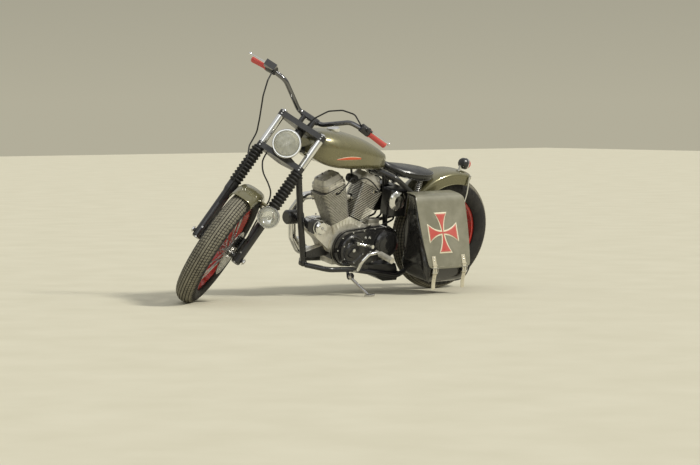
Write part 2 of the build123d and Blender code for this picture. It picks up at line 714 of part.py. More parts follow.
def tail_lamp():
    base = Vector(-112, 0, REAR_TYRE_RADIUS + REAR_FENDER_RADIUS + 24)
    aim = Vector(-0.98, 0, -0.2).normalized()
    body = turned([(0, 0), (24, 0), (31, 12), (31, 40), (0, 40)], base - aim * 22, aim)
    lens = turned([(0, 0), (26, 0), (26, 12), (18, 24), (0, 26)], base + aim * 18, aim)
    angle = math.radians(REAR_FENDER_END - 2.5)
    outward = Vector(math.cos(angle), 0, math.sin(angle))
    foot = rod(Vector(*REAR_AXLE) + outward * (REAR_FENDER_RADIUS + RUNNING_GAP), Vector(*REAR_AXLE) + outward * (REAR_FENDER_RADIUS + 22), 9)
    return body + lens + foot


def bag_face(z):
    """The Y of the bag's outer face at a height: the bag is a wedge that is deepest near its foot."""
    share = (BAG_TOP - z) / (BAG_TOP - 235)
    return BAG_BACK + BAG_DEPTH_TOP + (BAG_DEPTH_BOTTOM - BAG_DEPTH_TOP) * share


def bag_side():
    """The bag's end outline in Y and Z."""
    low_face = bag_face(BAG_BOTTOM + 92)
    points = [
        (BAG_BACK, BAG_TOP), (bag_face(BAG_TOP), BAG_TOP), (low_face, BAG_BOTTOM + 92),
        (low_face - 14, BAG_BOTTOM + 26), (low_face - 60, BAG_BOTTOM), (BAG_BACK + 22, BAG_BOTTOM + 6), (BAG_BACK, BAG_BOTTOM + 50),
    ]
    return outline(*points)


def saddlebag():
    section = Plane(origin=(BAG_REAR, 0, 0), x_dir=(0, 1, 0), z_dir=(1, 0, 0)) * bag_side()
    body = extrude(section, amount=BAG_FRONT - BAG_REAR)
    return fillet(body.edges().filter_by(Plane.YZ).sort_by(Axis.Z)[:4], 10)


def flap_trim(rear_top, front_top, rear_foot, front_foot):
    """A block that trims the flap to its narrowing outline, seen from the left."""
    high, low = BAG_TOP + 40, FLAP_LOW - 1
    return slab(outline((rear_top, high), (front_top, high), (front_foot, low), (rear_foot, low)), 0, 600)


def bag_flap():
    gap = RUNNING_GAP
    high, low = BAG_TOP, FLAP_LOW
    points = [
        (BAG_BACK, high + gap), (bag_face(high) + gap, high + gap), (bag_face(low) + gap, low),
        (bag_face(low) + gap + FLAP_THICKNESS, low), (bag_face(high) + gap + FLAP_THICKNESS, high + gap + FLAP_THICKNESS),
        (BAG_BACK, high + gap + FLAP_THICKNESS),
    ]
    section = Plane(origin=(0, 0, 0), x_dir=(0, 1, 0), z_dir=(1, 0, 0)) * outline(*points)
    flap = extrude(section, amount=600) & flap_trim(*FLAP_TOP, *FLAP_FOOT)
    strap_face = 2 * gap + FLAP_THICKNESS
    high, low, foot = (bag_face(290) + strap_face, 290), (bag_face(232) + strap_face, 232), (bag_face(232) + strap_face, 118)
    strap = outline(high, low, foot, (foot[0] + 5, 118), (low[0] + 5, 232), (high[0] + 5, 290))
    for x in STRAP_X:
        flap = flap + extrude(Plane(origin=(x - 14, 0, 0), x_dir=(0, 1, 0), z_dir=(1, 0, 0)) * strap, amount=28)
    return flap


def foot_peg(root, tip):
    """A rubber peg on a thinner stub, from its arm to its outer end."""
    root, tip = Vector(*root), Vector(*tip)
    shoulder = tip + (root - tip).normalized() * PEG_RUBBER
    return rod(root, shoulder, PEG_RADIUS - 6) + rod(shoulder, tip, PEG_RADIUS)


def foot_controls(side):
    root = RAIL_HALF_SPAN + RAIL_RADIUS + RUNNING_GAP
    if side > 0:
        arm = bent_tube([(688, root, 175.5), (694, 170, 188), (696, 198, 240), (660, 206, 280), (606, 214, 290)], 10, [20, 30, 24])
        peg = foot_peg((610, 200, 290.5), (600, 330, 274))
        x, z = SHIFT_SHAFT
        hub = CASE_HALF_WIDTH + PRIMARY_WIDTH + 26 + RUNNING_GAP
        lever = rod((x, hub, z), (x, hub + 22, z), 10) + rod((x, hub + 12, z), (652, 168, 316), 7)
        toe = rod((652, 160, 316), (646, 214, 322), 10)
        return arm + peg + lever + toe
    peg = foot_peg((650, 208, 289), (594, 330, 263))
    arm = bent_tube([(705, root, 178), (704, 196, 168), (692, 212, 204), (646, 214, 287)], 9, [20, 24])
    pedal = bent_tube([(692, 212, 196), (736, 214, 206), (800, 216, 262)], 7, [30])
    pad = rod((800, 192, 262), (800, 240, 262), 11)
    return mirrored_y(arm + peg + pedal + pad)


# Final drive

def chain_loop(offset):
    """The loop round both sprockets, offset from the pitch line."""
    return hull((0, REAR_TYRE_RADIUS, pitch_radius(REAR_TEETH) + offset),
                (MAINSHAFT_X, MAINSHAFT_Z, pitch_radius(ENGINE_TEETH) + offset))


def drive_chain():
    band = chain_loop(PLATE_HEIGHT / 2) - chain_loop(-PLATE_HEIGHT / 2)
    half = CHAIN_WIDTH / 2
    chain = slab(band, CHAIN_LINE - half, CHAIN_LINE - half + 3) + slab(band, CHAIN_LINE + half - 3, CHAIN_LINE + half)
    rear, front = pitch_radius(REAR_TEETH), pitch_radius(ENGINE_TEETH)
    span = math.hypot(MAINSHAFT_X, MAINSHAFT_Z - REAR_TYRE_RADIUS)
    tilt = math.atan2(MAINSHAFT_Z - REAR_TYRE_RADIUS, MAINSHAFT_X)
    pin = Rotation(-90, 0, 0) * extrude(RegularPolygon(4.5, 6), amount=CHAIN_WIDTH - 4)
    pins = []
    for side in (1, -1):
        normal = tilt + side * math.acos((rear - front) / span)
        start = Vector(rear * math.cos(normal), 0, REAR_TYRE_RADIUS + rear * math.sin(normal))
        end = Vector(MAINSHAFT_X + front * math.cos(normal), 0, MAINSHAFT_Z + front * math.sin(normal))
        run = end - start
        count = int(run.length / CHAIN_PITCH)
        for index in range(3, count - 2):
            at = start + run * (index / count)
            pins.append(Pos(at.X, CHAIN_LINE - half + 2, at.Z) * pin)
    return chain + pins


def drive_sprocket():
    shaft = rod((MAINSHAFT_X, CHAIN_LINE - 10, MAINSHAFT_Z), (MAINSHAFT_X, -CASE_HALF_WIDTH, MAINSHAFT_Z), 20)
    wheel = on_axle(Pos(0, 0, CHAIN_LINE) * sprocket(ENGINE_TEETH, CHAIN_WIDTH - 6.6, 10), (MAINSHAFT_X, 0, MAINSHAFT_Z))
    return shaft + wheel


def rear_brake():
    plate = rod((0, -99, REAR_TYRE_RADIUS), (0, -102.5, REAR_TYRE_RADIUS), 90)
    anchor = rod((0, -102.5, REAR_TYRE_RADIUS), (0, -RAIL_HALF_SPAN + AXLE_PLATE_THICKNESS / 2 + RUNNING_GAP, REAR_TYRE_RADIUS), 20)
    bore = rod((0, -80, REAR_TYRE_RADIUS), (0, -130, REAR_TYRE_RADIUS), 10)
    return plate + anchor - bore


# Fork, bars and lamps, in the fork frame

def fork_trees():
    trees = rod((0, 0, LOWER_TREE - 16), (0, 0, UPPER_TREE + 14), STEM_RADIUS)
    for height in (LOWER_TREE, UPPER_TREE):
        outline_face = hull((0, 0, 30), (FORK_OFFSET, TREE_END - 26, 26), (FORK_OFFSET, -TREE_END + 26, 26))
        plate = Pos(0, 0, height - TREE_THICKNESS / 2) * extrude(outline_face, amount=TREE_THICKNESS)
        trees = trees + plate
    for side in (1, -1):
        trees = trees - rod((FORK_OFFSET, side * TUBE_HALF_SPAN, 0), (FORK_OFFSET, side * TUBE_HALF_SPAN, 300), TUBE_RADIUS)
    return trees


def fork_tubes():
    tubes = []
    for side in (1, -1):
        y = side * TUBE_HALF_SPAN
        tubes.append(rod((FORK_OFFSET, y, BOOT_BOTTOM - 40), (FORK_OFFSET, y, UPPER_TREE + 15), TUBE_RADIUS))
    return tubes[0] + tubes[1]


def fork_boots():
    boots = []
    top = LOWER_TREE - TREE_THICKNESS / 2
    step = (top - BOOT_BOTTOM) / BOOT_RIBS
    for side in (1, -1):
        points = [(TUBE_RADIUS, BOOT_BOTTOM)]
        for index in range(BOOT_RIBS):
            low = BOOT_BOTTOM + index * step
            points += [(BOOT_RADIUS - 7, low), (BOOT_RADIUS, low + 0.3 * step), (BOOT_RADIUS, low + 0.7 * step)]
        points += [(BOOT_RADIUS - 7, top), (TUBE_RADIUS, top)]
        boots.append(turned(points, (FORK_OFFSET, side * TUBE_HALF_SPAN, 0)))
    return boots[0] + boots[1]


def fork_legs():
    legs = []
    for side in (1, -1):
        y = side * TUBE_HALF_SPAN
        leg = turned([(0, LEG_END), (LEG_RADIUS - 4, LEG_END), (LEG_RADIUS, LEG_END + 8), (LEG_RADIUS, BOOT_BOTTOM - 60),
                      (LEG_RADIUS + 4, BOOT_BOTTOM - 40), (LEG_RADIUS + 4, BOOT_BOTTOM), (TUBE_RADIUS, BOOT_BOTTOM),
                      (TUBE_RADIUS, BOOT_BOTTOM - 40), (0, BOOT_BOTTOM - 40)], (FORK_OFFSET, y, 0))
        legs.append(leg)
    axle = rod((FORK_OFFSET, -TUBE_HALF_SPAN - 32, -AXLE_DROP), (FORK_OFFSET, TUBE_HALF_SPAN + 32, -AXLE_DROP), 10 - RUNNING_GAP)
    for low, high in ((75.5, TUBE_HALF_SPAN), (-TUBE_HALF_SPAN, -FRONT_HUB_HALF - 1)):
        axle = axle + rod((FORK_OFFSET, low, -AXLE_DROP), (FORK_OFFSET, high, -AXLE_DROP), 15)
    caliper = Pos(FORK_OFFSET - 88, 78, -AXLE_DROP + 70) * Box(60, 46, 92)
    slot = Pos(FORK_OFFSET, 70, -AXLE_DROP) * Rotation(90, 0, 0) * Cylinder(BRAKE_DISC_RADIUS + 5, 14)
    spokes = Pos(FORK_OFFSET, 0, -AXLE_DROP) * Rotation(90, 0, 0) * Cylinder(84, 300)
    arm = Pos(FORK_OFFSET - 40, 89, -AXLE_DROP + 70) * Box(
        70, TUBE_HALF_SPAN - 109, 60, align=(Align.CENTER, Align.MIN, Align.CENTER))
    return legs[0] + legs[1] + axle + (caliper - slot - spokes) + arm


def headlight():
    aim = Vector(0.985, 0, -0.17)
    centre = Vector(128, 0, 90)
    bowl = turned([(0, -72), (22, -70), (48, -52), (66, -20), (71, 0), (77, 2), (77, 16), (70, 22), (0, 30)], centre, aim)
    base = LOWER_TREE + TREE_THICKNESS / 2 + RUNNING_GAP
    mount = rod((38, 0, 62), (66, 0, 74), 11) + rod((38, 0, base), (38, 0, 68), 12)
    return bowl + mount


def spot_lamp():
    aim = Vector(0.98, 0.05, -0.16)
    centre = Vector(124, 140, -284)
    bowl = turned([(0, -34), (26, -32), (46, -16), (54, -2), (58, 0), (58, 12), (50, 17), (0, 22)], centre, aim)
    x, y, height = FORK_OFFSET, TUBE_HALF_SPAN, -298
    clamp = rod((x, y, height - 10), (x, y, height + 10), LEG_RADIUS + 8)
    mount = rod((x + LEG_RADIUS + 3, y + 4, height), centre - aim * 30, 8)
    bore = rod((x, y, height - 30), (x, y, height + 30), LEG_RADIUS + RUNNING_GAP)
    return bowl + mount + clamp - bore


BAR_BENDS = ((-15, 69, 303), (104, 202, 373), (119, 298, 377), (59, 407, 382))
BAR_RADIUS = 12.7
GRIP_RADIUS = 17


def handlebar():
    left = [Vector(*point) for point in BAR_BENDS]
    right = [Vector(point.X, -point.Y, point.Z) for point in reversed(left)]
    bar = bent_tube([*right, *left], BAR_RADIUS, [90, 70, 60, 60, 70, 90])
    base = UPPER_TREE + TREE_THICKNESS / 2 + RUNNING_GAP
    risers = [rod((-6, side * 30, base), (-6, side * 30, 296), 13) for side in (1, -1)]
    clamp = Pos(-14, 0, 303) * Box(32, 100, 32)
    clamp = fillet(clamp.edges().filter_by(Axis.Y), 10)
    return bar + risers[0] + risers[1] + clamp


def grips():
    left = rod(Vector(*BAR_BENDS[2]) + (Vector(*BAR_BENDS[3]) - Vector(*BAR_BENDS[2])) * 0.16,
               Vector(*BAR_BENDS[3]) + (Vector(*BAR_BENDS[3]) - Vector(*BAR_BENDS[2])) * 0.06, GRIP_RADIUS)
    bar = handlebar()
    return (left - bar) + (mirrored_y(left) - bar)


def hand_controls():
    inner, tip = Vector(*BAR_BENDS[2]), Vector(*BAR_BENDS[3])
    along = (tip - inner).normalized()
    ahead = Vector(0.87, 0.46, 0.1).normalized()
    box = rod(inner - along * 34, inner + along * 16, 23)
    perch = rod(inner - along * 4, inner - along * 4 + ahead * 44, 11)
    lever = rod(inner - along * 4 + ahead * 40, tip + ahead * 54, 6, 5) + Pos(*(tip + ahead * 54)) * Sphere(9)
    left = box + perch + lever
    master = Pos(*(inner + ahead * 40 - along * 20)) * Box(46, 62, 34)
    right = mirrored_y(left + master)
    return (left + right) - handlebar()


def front_fender():
    channel = fender_channel(FRONT_FENDER_RADIUS, FRONT_FENDER_HALF_WIDTH, FRONT_FENDER_SKIRT, FRONT_FENDER_START, FRONT_FENDER_END)
    fender = about_axle(channel, FRONT_AXLE)
    brackets = []
    for side in (1, -1):
        brackets.append(rod((FORK_OFFSET, side * (FRONT_FENDER_HALF_WIDTH - 2), -226),
                            (FORK_OFFSET, side * (TUBE_HALF_SPAN - LEG_RADIUS - 5), -226), 9))
    return fender + brackets[0] + brackets[1]


def cables():
    leg_front = FORK_OFFSET + LEG_RADIUS + 4 + RUNNING_GAP
    hose = bent_tube([
        (158, -275, 372), (190, -262, 300), (188, -236, 220), (150, -190, 120), (96, -168, 60), (96, -160, -20),
        (112, -124, -90), (91, -TUBE_HALF_SPAN, -210), (leg_front, -TUBE_HALF_SPAN, -300), (leg_front, -TUBE_HALF_SPAN, -350),
    ], 4, [24, 40, 60, 50, 40, 40, 50, 60])
    clutch = bent_tube([(130, 262, 384), (110, 200, 420), (80, 130, 410), (60, 70, 370), (50, 30, 300), (44, 20, UPPER_TREE + 16.5)],
                       4, [50, 50, 50, 40])
    return (hose + clutch) - hand_controls()


# Side stand

def side_stand():
    pivot, axis = Vector(*STAND_PIVOT), Vector(*STAND_AXIS).normalized()
    ankle = on_floor(*STAND_FOOT_XY) + FLOOR_UP * 12
    reach = ankle - pivot
    outward = (reach - axis * reach.dot(axis)).normalized()
    leg = rod(pivot + outward * (STAND_EYE_RADIUS - 4), ankle, STAND_ROOT_RADIUS, STAND_LEG_RADIUS)
    at_pivot = Plane(origin=pivot, z_dir=STAND_AXIS).location
    eye = at_pivot * Cylinder(STAND_EYE_RADIUS, STAND_EYE_THICKNESS)
    bore = at_pivot * Cylinder(STAND_PIN_RADIUS + RUNNING_GAP, 60)
    pad = Plane(origin=on_floor(*STAND_FOOT_XY), z_dir=FLOOR_UP).location * Cylinder(
        20, 10, align=(Align.CENTER, Align.CENTER, Align.MIN))
    toe = rod(ankle - FLOOR_UP * 5, on_floor(STAND_FOOT_XY[0] - 44, STAND_FOOT_XY[1] - 4) + FLOOR_UP * 8, 7)
    return (leg + eye - bore) + pad + toe


# Nodes: name, the frame it is modelled in, and the function that makes it
UPRIGHT = Location()
NODES = {
    "frame_backbone": (UPRIGHT, frame_backbone),
    "frame_downtube": (UPRIGHT, frame_downtube),
    "frame_rail_left": (UPRIGHT, lambda: frame_rail(1)),
    "frame_rail_right": (UPRIGHT, lambda: frame_rail(-1)),
    "frame_stay_left": (UPRIGHT, lambda: frame_stay(1)),
    "frame_stay_right": (UPRIGHT, lambda: frame_stay(-1)),
    "frame_seat_post": (UPRIGHT, frame_seat_post),
    "crankcase": (UPRIGHT, crankcase),
    "front_cylinder": (UPRIGHT, lambda: finned_cylinder(1)),
    "rear_cylinder": (UPRIGHT, lambda: finned_cylinder(-1)),
    "rocker_boxes": (UPRIGHT, lambda: rocker_box(1) + rocker_box(-1)),
    "primary_cover": (UPRIGHT, primary_cover),
    "gear_cover": (UPRIGHT, gear_cover),
    "generator": (UPRIGHT, generator),
    "oil_filter": (UPRIGHT, oil_filter),
    "intake": (UPRIGHT, intake),
    "exhaust_pipes": (UPRIGHT, lambda: exhaust_pipe(1) + exhaust_pipe(-1)),
    "oil_tank": (UPRIGHT, oil_tank),
    "tank_cover": (UPRIGHT, tank_cover),
    "battery_box": (UPRIGHT, battery_box),
    "fuel_tank": (UPRIGHT, fuel_tank),
    "fuel_cap": (UPRIGHT, fuel_cap),
    "seat": (UPRIGHT, seat),
    "seat_springs": (UPRIGHT, seat_springs),
    "rear_fender": (UPRIGHT, rear_fender),
    "fender_struts": (UPRIGHT, fender_struts),
    "tail_lamp": (UPRIGHT, tail_lamp),
    "saddlebag": (UPRIGHT, saddlebag),
    "bag_flap": (UPRIGHT, bag_flap),
    "foot_controls_left": (UPRIGHT, lambda: foot_controls(1)),
    "foot_controls_right": (UPRIGHT, lambda: foot_controls(-1)),
    "drive_sprocket": (UPRIGHT, drive_sprocket),
    "drive_chain": (UPRIGHT, drive_chain),
    "rear_brake": (UPRIGHT, rear_brake),
    "rear_tyre": (UPRIGHT, lambda: on_axle(tyre(REAR_TYRE_RADIUS, REAR_TYRE_SECTION, REAR_RIM_RADIUS), REAR_AXLE)),
    "rear_wheel": (UPRIGHT, rear_wheel),
    "front_tyre": (STEERED, lambda: on_axle(tyre(FRONT_TYRE_RADIUS, FRONT_TYRE_SECTION, FRONT_RIM_RADIUS), FRONT_AXLE)),
    "front_wheel": (STEERED, front_wheel),
    "fork_trees": (STEERED, fork_trees),
    "fork_tubes": (STEERED, fork_tubes),
    "fork_boots": (STEERED, fork_boots),
    "fork_legs": (STEERED, fork_legs),
    "headlight": (STEERED, headlight),
    "spot_lamp": (STEERED, spot_lamp),
    "handlebar": (STEERED, handlebar),
    "grips": (STEERED, grips),
    "hand_controls": (STEERED, hand_controls),
    "front_fender": (STEERED, front_fender),
    "cables": (STEERED, cables),
    "side_stand": (UPRIGHT, side_stand),
}


def build():
    shapes = {name: PARKED * frame * make() for name, (frame, make) in NODES.items()}
    box = Compound(children=[Compound(part.solids()) for part in shapes.values()]).bounding_box()
    origin = Pos(-(box.min.X + box.max.X) / 2, -(box.min.Y + box.max.Y) / 2, 0)
    return {name: origin * part for name, part in shapes.items()}, origin


def main():
    os.makedirs("parts", exist_ok=True)
    shapes, _ = build()
    for name, shape in shapes.items():
        export_step(shape, f"parts/{name}.step")


main()
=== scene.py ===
"""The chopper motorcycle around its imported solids: finishes, soft goods, trim, light and camera."""
import math

import bmesh
import bpy
import numpy as np
from mathutils import Matrix, Vector
from mathutils.bvhtree import BVHTree


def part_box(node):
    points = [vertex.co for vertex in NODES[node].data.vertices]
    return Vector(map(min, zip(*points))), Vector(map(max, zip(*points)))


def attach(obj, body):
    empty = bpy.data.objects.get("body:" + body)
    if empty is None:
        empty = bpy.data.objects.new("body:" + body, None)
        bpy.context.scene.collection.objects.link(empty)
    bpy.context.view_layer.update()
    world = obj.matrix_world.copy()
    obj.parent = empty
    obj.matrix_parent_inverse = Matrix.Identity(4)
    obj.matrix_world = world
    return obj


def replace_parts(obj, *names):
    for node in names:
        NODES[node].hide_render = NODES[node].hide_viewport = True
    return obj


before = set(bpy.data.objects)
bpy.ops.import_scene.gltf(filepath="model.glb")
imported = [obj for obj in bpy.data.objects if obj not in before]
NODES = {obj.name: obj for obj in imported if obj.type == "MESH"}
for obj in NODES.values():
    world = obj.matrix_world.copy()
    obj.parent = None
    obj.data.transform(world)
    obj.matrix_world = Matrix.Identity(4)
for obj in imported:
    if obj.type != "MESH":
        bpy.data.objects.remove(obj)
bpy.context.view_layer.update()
LEFT, RIGHT, UP, FORWARD, SIDES = (0, 1, 0), (0, -1, 0), (0, 0, 1), (1, 0, 0), (1, -1)


# Placing and meshing

def aimed(origin, axis=LEFT, side=UP):
    """A frame at origin whose z runs along axis, with x as near to side as it can be."""
    z = Vector(axis).normalized()
    x = Vector(side) - z * Vector(side).dot(z)
    if x.length < 1e-6:
        x = Vector(FORWARD) - z * z.x
    x.normalize()
    y = z.cross(x)
    return Matrix((*((x[i], y[i], z[i], origin[i]) for i in range(3)), (0, 0, 0, 1)))


# BIKE takes upright millimetres to the parked bike in metres, and FORK does so from the steered fork's axes
LEAN, PITCH, STEER, RAKE = 12, 0.938754, 43.6, math.radians(36.4)
WHEELBASE, FORK_OFFSET, AXLE_DROP, TUBE_Y = 1538, 49.4, 535, 121
FRONT_RADIUS, REAR_RADIUS = 340, 320
FRONT_AXLE, REAR_AXLE = (FORK_OFFSET, 0, -AXLE_DROP), (0, 0, REAR_RADIUS)
tilt = Matrix.Rotation(math.radians(-LEAN), 4, "X") @ Matrix.Rotation(math.radians(PITCH), 4, "Y")
tyre_low, tyre_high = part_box("rear_tyre")
SHIFT = (Vector(tyre_low) + Vector(tyre_high)) / 2 - tilt @ Vector((0, 0, 0.32))
BIKE = Matrix.Translation(SHIFT) @ tilt @ Matrix.Scale(0.001, 4)
s, c = math.sin(RAKE), math.cos(RAKE)
neck = (WHEELBASE - AXLE_DROP * s - FORK_OFFSET * c, 0, FRONT_RADIUS + AXLE_DROP * c - FORK_OFFSET * s)
raked = Matrix(((c, 0, -s, neck[0]), (0, 1, 0, 0), (s, 0, c, neck[2]), (0, 0, 0, 1)))
FORK = BIKE @ raked @ Matrix.Rotation(math.radians(STEER), 4, "Z")
FRONT_HUB, REAR_HUB = FORK @ aimed(FRONT_AXLE, LEFT, FORWARD), BIKE @ aimed(REAR_AXLE, LEFT, FORWARD)
FRAMES = {"frame": BIKE, "fork": FORK, "front_wheel": Matrix.Identity(4), "rear_wheel": Matrix.Identity(4)}
INTO_BIKE = BIKE.inverted()
# Each cylinder's frame stands on the crankshaft's middle, with its z up the cylinder's axis
CRANK = Vector((700, 0, 290))
CYLINDER = {lean: Matrix.Translation(CRANK) @ Matrix.Rotation(math.radians(22.5) * lean, 4, "Y") for lean in SIDES}


def soften(mesh, sharp):
    """Smooth shading, with edges sharper than the angle left crisp."""
    work = bmesh.new()
    work.from_mesh(mesh)
    bmesh.ops.remove_doubles(work, verts=work.verts, dist=1e-6)
    bmesh.ops.recalc_face_normals(work, faces=work.faces)
    for face in work.faces:
        face.smooth = True
    for edge in work.edges:
        edge.smooth = not (edge.is_manifold and edge.calc_face_angle(0) > math.radians(sharp))
    work.to_mesh(mesh)
    work.free()


def linked(name, data):
    made = bpy.data.objects.new(name, data)
    bpy.context.collection.objects.link(made)
    return made


def piece(name, points, faces, body, material, sharp=35, place=None):
    """A mesh piece from local millimetre points, stood in the row frame and riding on a body."""
    place = place or FRAMES[body]
    mesh = bpy.data.meshes.new(name)
    mesh.from_pydata([place @ Vector(point) for point in points], [], faces)
    soften(mesh, sharp)
    mesh.materials.append(material)
    made = linked(name, mesh)
    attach(made, body)
    return made


def gathered(name, parts, body, material, sharp=35):
    """Many small shapes as one piece: each is its points, its faces and, where it is placed, its matrix."""
    points, faces = [], []
    for part_points, part_faces, *matrix in parts:
        start = len(points)
        points += [matrix[0] @ Vector(point) for point in part_points] if matrix else part_points
        faces += [tuple(start + index for index in face) for face in part_faces]
    return piece(name, points, faces, body, material, sharp)


def grid_faces(rows, columns, wrap=False, closed=False, caps=False):
    """Quads between rows of points. Wrap joins each row's ends, and closed joins the last row to the first."""
    faces = []
    for row in range(rows if closed else rows - 1):
        here, there = row * columns, (row + 1) % rows * columns
        for column in range(columns if wrap else columns - 1):
            after = (column + 1) % columns
            faces.append((here + column, here + after, there + after, there + column))
    if caps:
        faces += [tuple(reversed(range(columns))), tuple(range((rows - 1) * columns, rows * columns))]
    return faces


def circle(count, radius=1.0, first=0.0):
    """Points evenly round a circle, the first of them at an angle in degrees."""
    angles = [math.radians(first) + 2 * math.pi * step / count for step in range(count)]
    return [(radius * math.cos(angle), radius * math.sin(angle)) for angle in angles]


def lathe_parts(profile, segments=48, closed=False):
    points = [(radius * x, radius * y, height) for x, y in circle(segments) for radius, height in profile]
    return points, grid_faces(segments, len(profile), closed, True)


def turned(profile, place, segments=48, closed=False):
    return (*lathe_parts(profile, segments, closed), place)


def lathe(name, profile, place, body, material, segments=48, closed=False):
    return piece(name, *lathe_parts(profile, segments, closed), body, material, place=place)


def prism_parts(outline, height, chamfer):
    """An outline about its origin in x and y, raised along z, with a chamfered top edge."""
    middle = Vector((sum(p[0] for p in outline), sum(p[1] for p in outline))) / len(outline)
    reach = max((Vector(p) - middle).length for p in outline)
    rows = [(1.0, 0.0), (1.0, height - chamfer), (1 - chamfer / reach, height)]
    points = [(middle.x + (x - middle.x) * scale, middle.y + (y - middle.y) * scale, level)
              for scale, level in rows for x, y in outline]
    return points, grid_faces(3, len(outline), True, caps=True)


def bolt(radius, height, place):
    """A hexagon head on a washer."""
    head, faces = prism_parts(circle(6, radius), height, radius * 0.15)
    ring = [(0, 0), (radius * 1.35, 0), (radius * 1.35, height * 0.25), (0, height * 0.25)]
    washer, washer_faces = lathe_parts(ring, 16)
    return head + washer, faces + [tuple(len(head) + i for i in face) for face in washer_faces], place


def screw(radius, height, place):
    """A round cap screw with a socket."""
    return turned([(radius, 0), (radius, height - radius * 0.2), (radius * 0.85, height), (radius * 0.55, height),
                   (radius * 0.5, height * 0.45), (0, height * 0.45)], place, 12)


def bolts(radius, height, spots, axis=LEFT):
    return [bolt(radius, height, aimed(spot, axis)) for spot in spots]


def screws(radius, height, spots, axis=LEFT):
    return [screw(radius, height, aimed(spot, axis)) for spot in spots]


def tube(path, radius, sides=12, closed=False):
    """A round tube along a list of points, with its frame carried along the path."""
    path = [Vector(point) for point in path]
    count = len(path)
    normal, points = None, []
    for index, point in enumerate(path):
        before = path[index - 1] if index or closed else point
        after = path[(index + 1) % count] if index < count - 1 or closed else point
        along = (after - before).normalized()
        normal = normal or along.orthogonal().normalized()
        normal = (normal - along * normal.dot(along)).normalized()
        side = along.cross(normal)
        points += [tuple(point + (normal * x + side * y) * radius) for x, y in circle(sides)]
    return points, grid_faces(count, sides, True, closed, not closed)


def strut(start, end, radius, sides=24):
    return tube([start, end], radius, sides)


def curved(points, steps=10):
    """A smooth line through points."""
    points = [Vector(point) for point in points]
    ends = [points[0] * 2 - points[1], *points, points[-1] * 2 - points[-2]]
    line = []
    for index in range(1, len(ends) - 2):
        a, b, c, d = ends[index - 1:index + 3]
        for step in range(steps):
            t = step / steps
            bend, twist = 2 * a - 5 * b + 4 * c - d, 3 * b - a - 3 * c + d
            line.append(0.5 * (2 * b + (c - a) * t + bend * t * t + twist * t ** 3))
    return [*line, points[-1]]


# Materials

INPUTS = {
    "color": "Base Color", "metal": "Metallic", "rough": "Roughness", "coat": "Coat Weight",
    "coat_rough": "Coat Roughness", "specular": "Specular IOR Level", "ior": "IOR", "clear": "Transmission Weight",
    "scatter": "Subsurface Weight", "alpha": "Alpha",
}


class Shader:
    """A material built from a few nodes on the object's own coordinates."""

    def __init__(self, name, **settings):
        self.material = bpy.data.materials.new(name)
        self.material.use_nodes = True
        self.tree = self.material.node_tree
        self.surface = self.tree.nodes["Principled BSDF"]
        self.place = self.tree.nodes.new("ShaderNodeTexCoord").outputs["Object"]
        self.set(**settings)

    def set(self, **settings):
        for key, value in settings.items():
            self.feed(self.surface.inputs[INPUTS[key]], value)

    def feed(self, socket, value):
        if isinstance(value, bpy.types.NodeSocket):
            self.tree.links.new(value, socket)
        elif socket.type == "RGBA":
            socket.default_value = (*value, 1)
        else:
            socket.default_value = value

    def node(self, kind, inputs, **settings):
        made = self.tree.nodes.new("ShaderNode" + kind)
        for key, value in settings.items():
            setattr(made, key, value)
        for key, value in inputs.items():
            self.feed(made.inputs[key], value)
        return made

    def math(self, operation, a, b=0.0):
        return self.node("Math", {0: a, 1: b}, operation=operation).outputs[0]

    def vector(self, operation, a, b=(0.0, 0.0, 0.0), output=0):
        return self.node("VectorMath", {0: a, 1: b}, operation=operation).outputs[output]

    def noise(self, scale, detail=3.0, rough=0.5, at=None):
        inputs = {"Vector": at or self.place, "Scale": scale, "Detail": detail, "Roughness": rough}
        return self.node("TexNoise", inputs).outputs[0]

    def span(self, value, low, high, out_low=0.0, out_high=1.0):
        return self.node("MapRange", {0: value, 1: low, 2: high, 3: out_low, 4: out_high}, clamp=True).outputs[0]

    def cloud(self, scale, detail, low, high, out_low=0.0, out_high=1.0, rough=0.5):
        """Noise between two levels, spread over another span."""
        return self.span(self.noise(scale, detail, rough), low, high, out_low, out_high)

    def mix(self, factor, a, b):
        return self.node("Mix", {0: factor, 6: a, 7: b}, data_type="RGBA").outputs[2]

    def bump(self, height, strength, distance):
        made = self.node("Bump", {"Height": height, "Strength": strength, "Distance": distance})
        self.tree.links.new(made.outputs[0], self.surface.inputs["Normal"])
        return self.material

    def flutes(self, axis, pitch, strength):
        """Fine parallel waves across one axis, as pressed into a lens."""
        along = self.node("SeparateXYZ", {0: self.place}).outputs[axis]
        return self.bump(self.math("SINE", self.math("MULTIPLY", along, pitch)), strength, 0.0006)

    def worn(self, radius):
        """Near 1 on edges that stand out, from the difference between rounded and true normals."""
        bevel = self.node("Bevel", {"Radius": radius}, samples=4).outputs[0]
        true = self.node("NewGeometry", {}).outputs["Normal"]
        return self.span(self.vector("DOT_PRODUCT", bevel, true, "Value"), 0.98, 0.8)

    def wheel_space(self, centre, axis):
        """The distance from a wheel's axle, and the place along it."""
        offset = self.vector("SUBTRACT", self.place, tuple(centre))
        out = self.vector("LENGTH", self.vector("CROSS_PRODUCT", offset, tuple(axis)), output="Value")
        return out, self.vector("DOT_PRODUCT", offset, tuple(axis), "Value")

    def finished(self, color, rough, grain, strength, distance=0.0004, detail=2):
        """Set the colour, a cloudy roughness and a fine grain."""
        self.set(color=color, rough=self.cloud(*rough))
        return self.bump(self.noise(grain, detail), strength, distance)


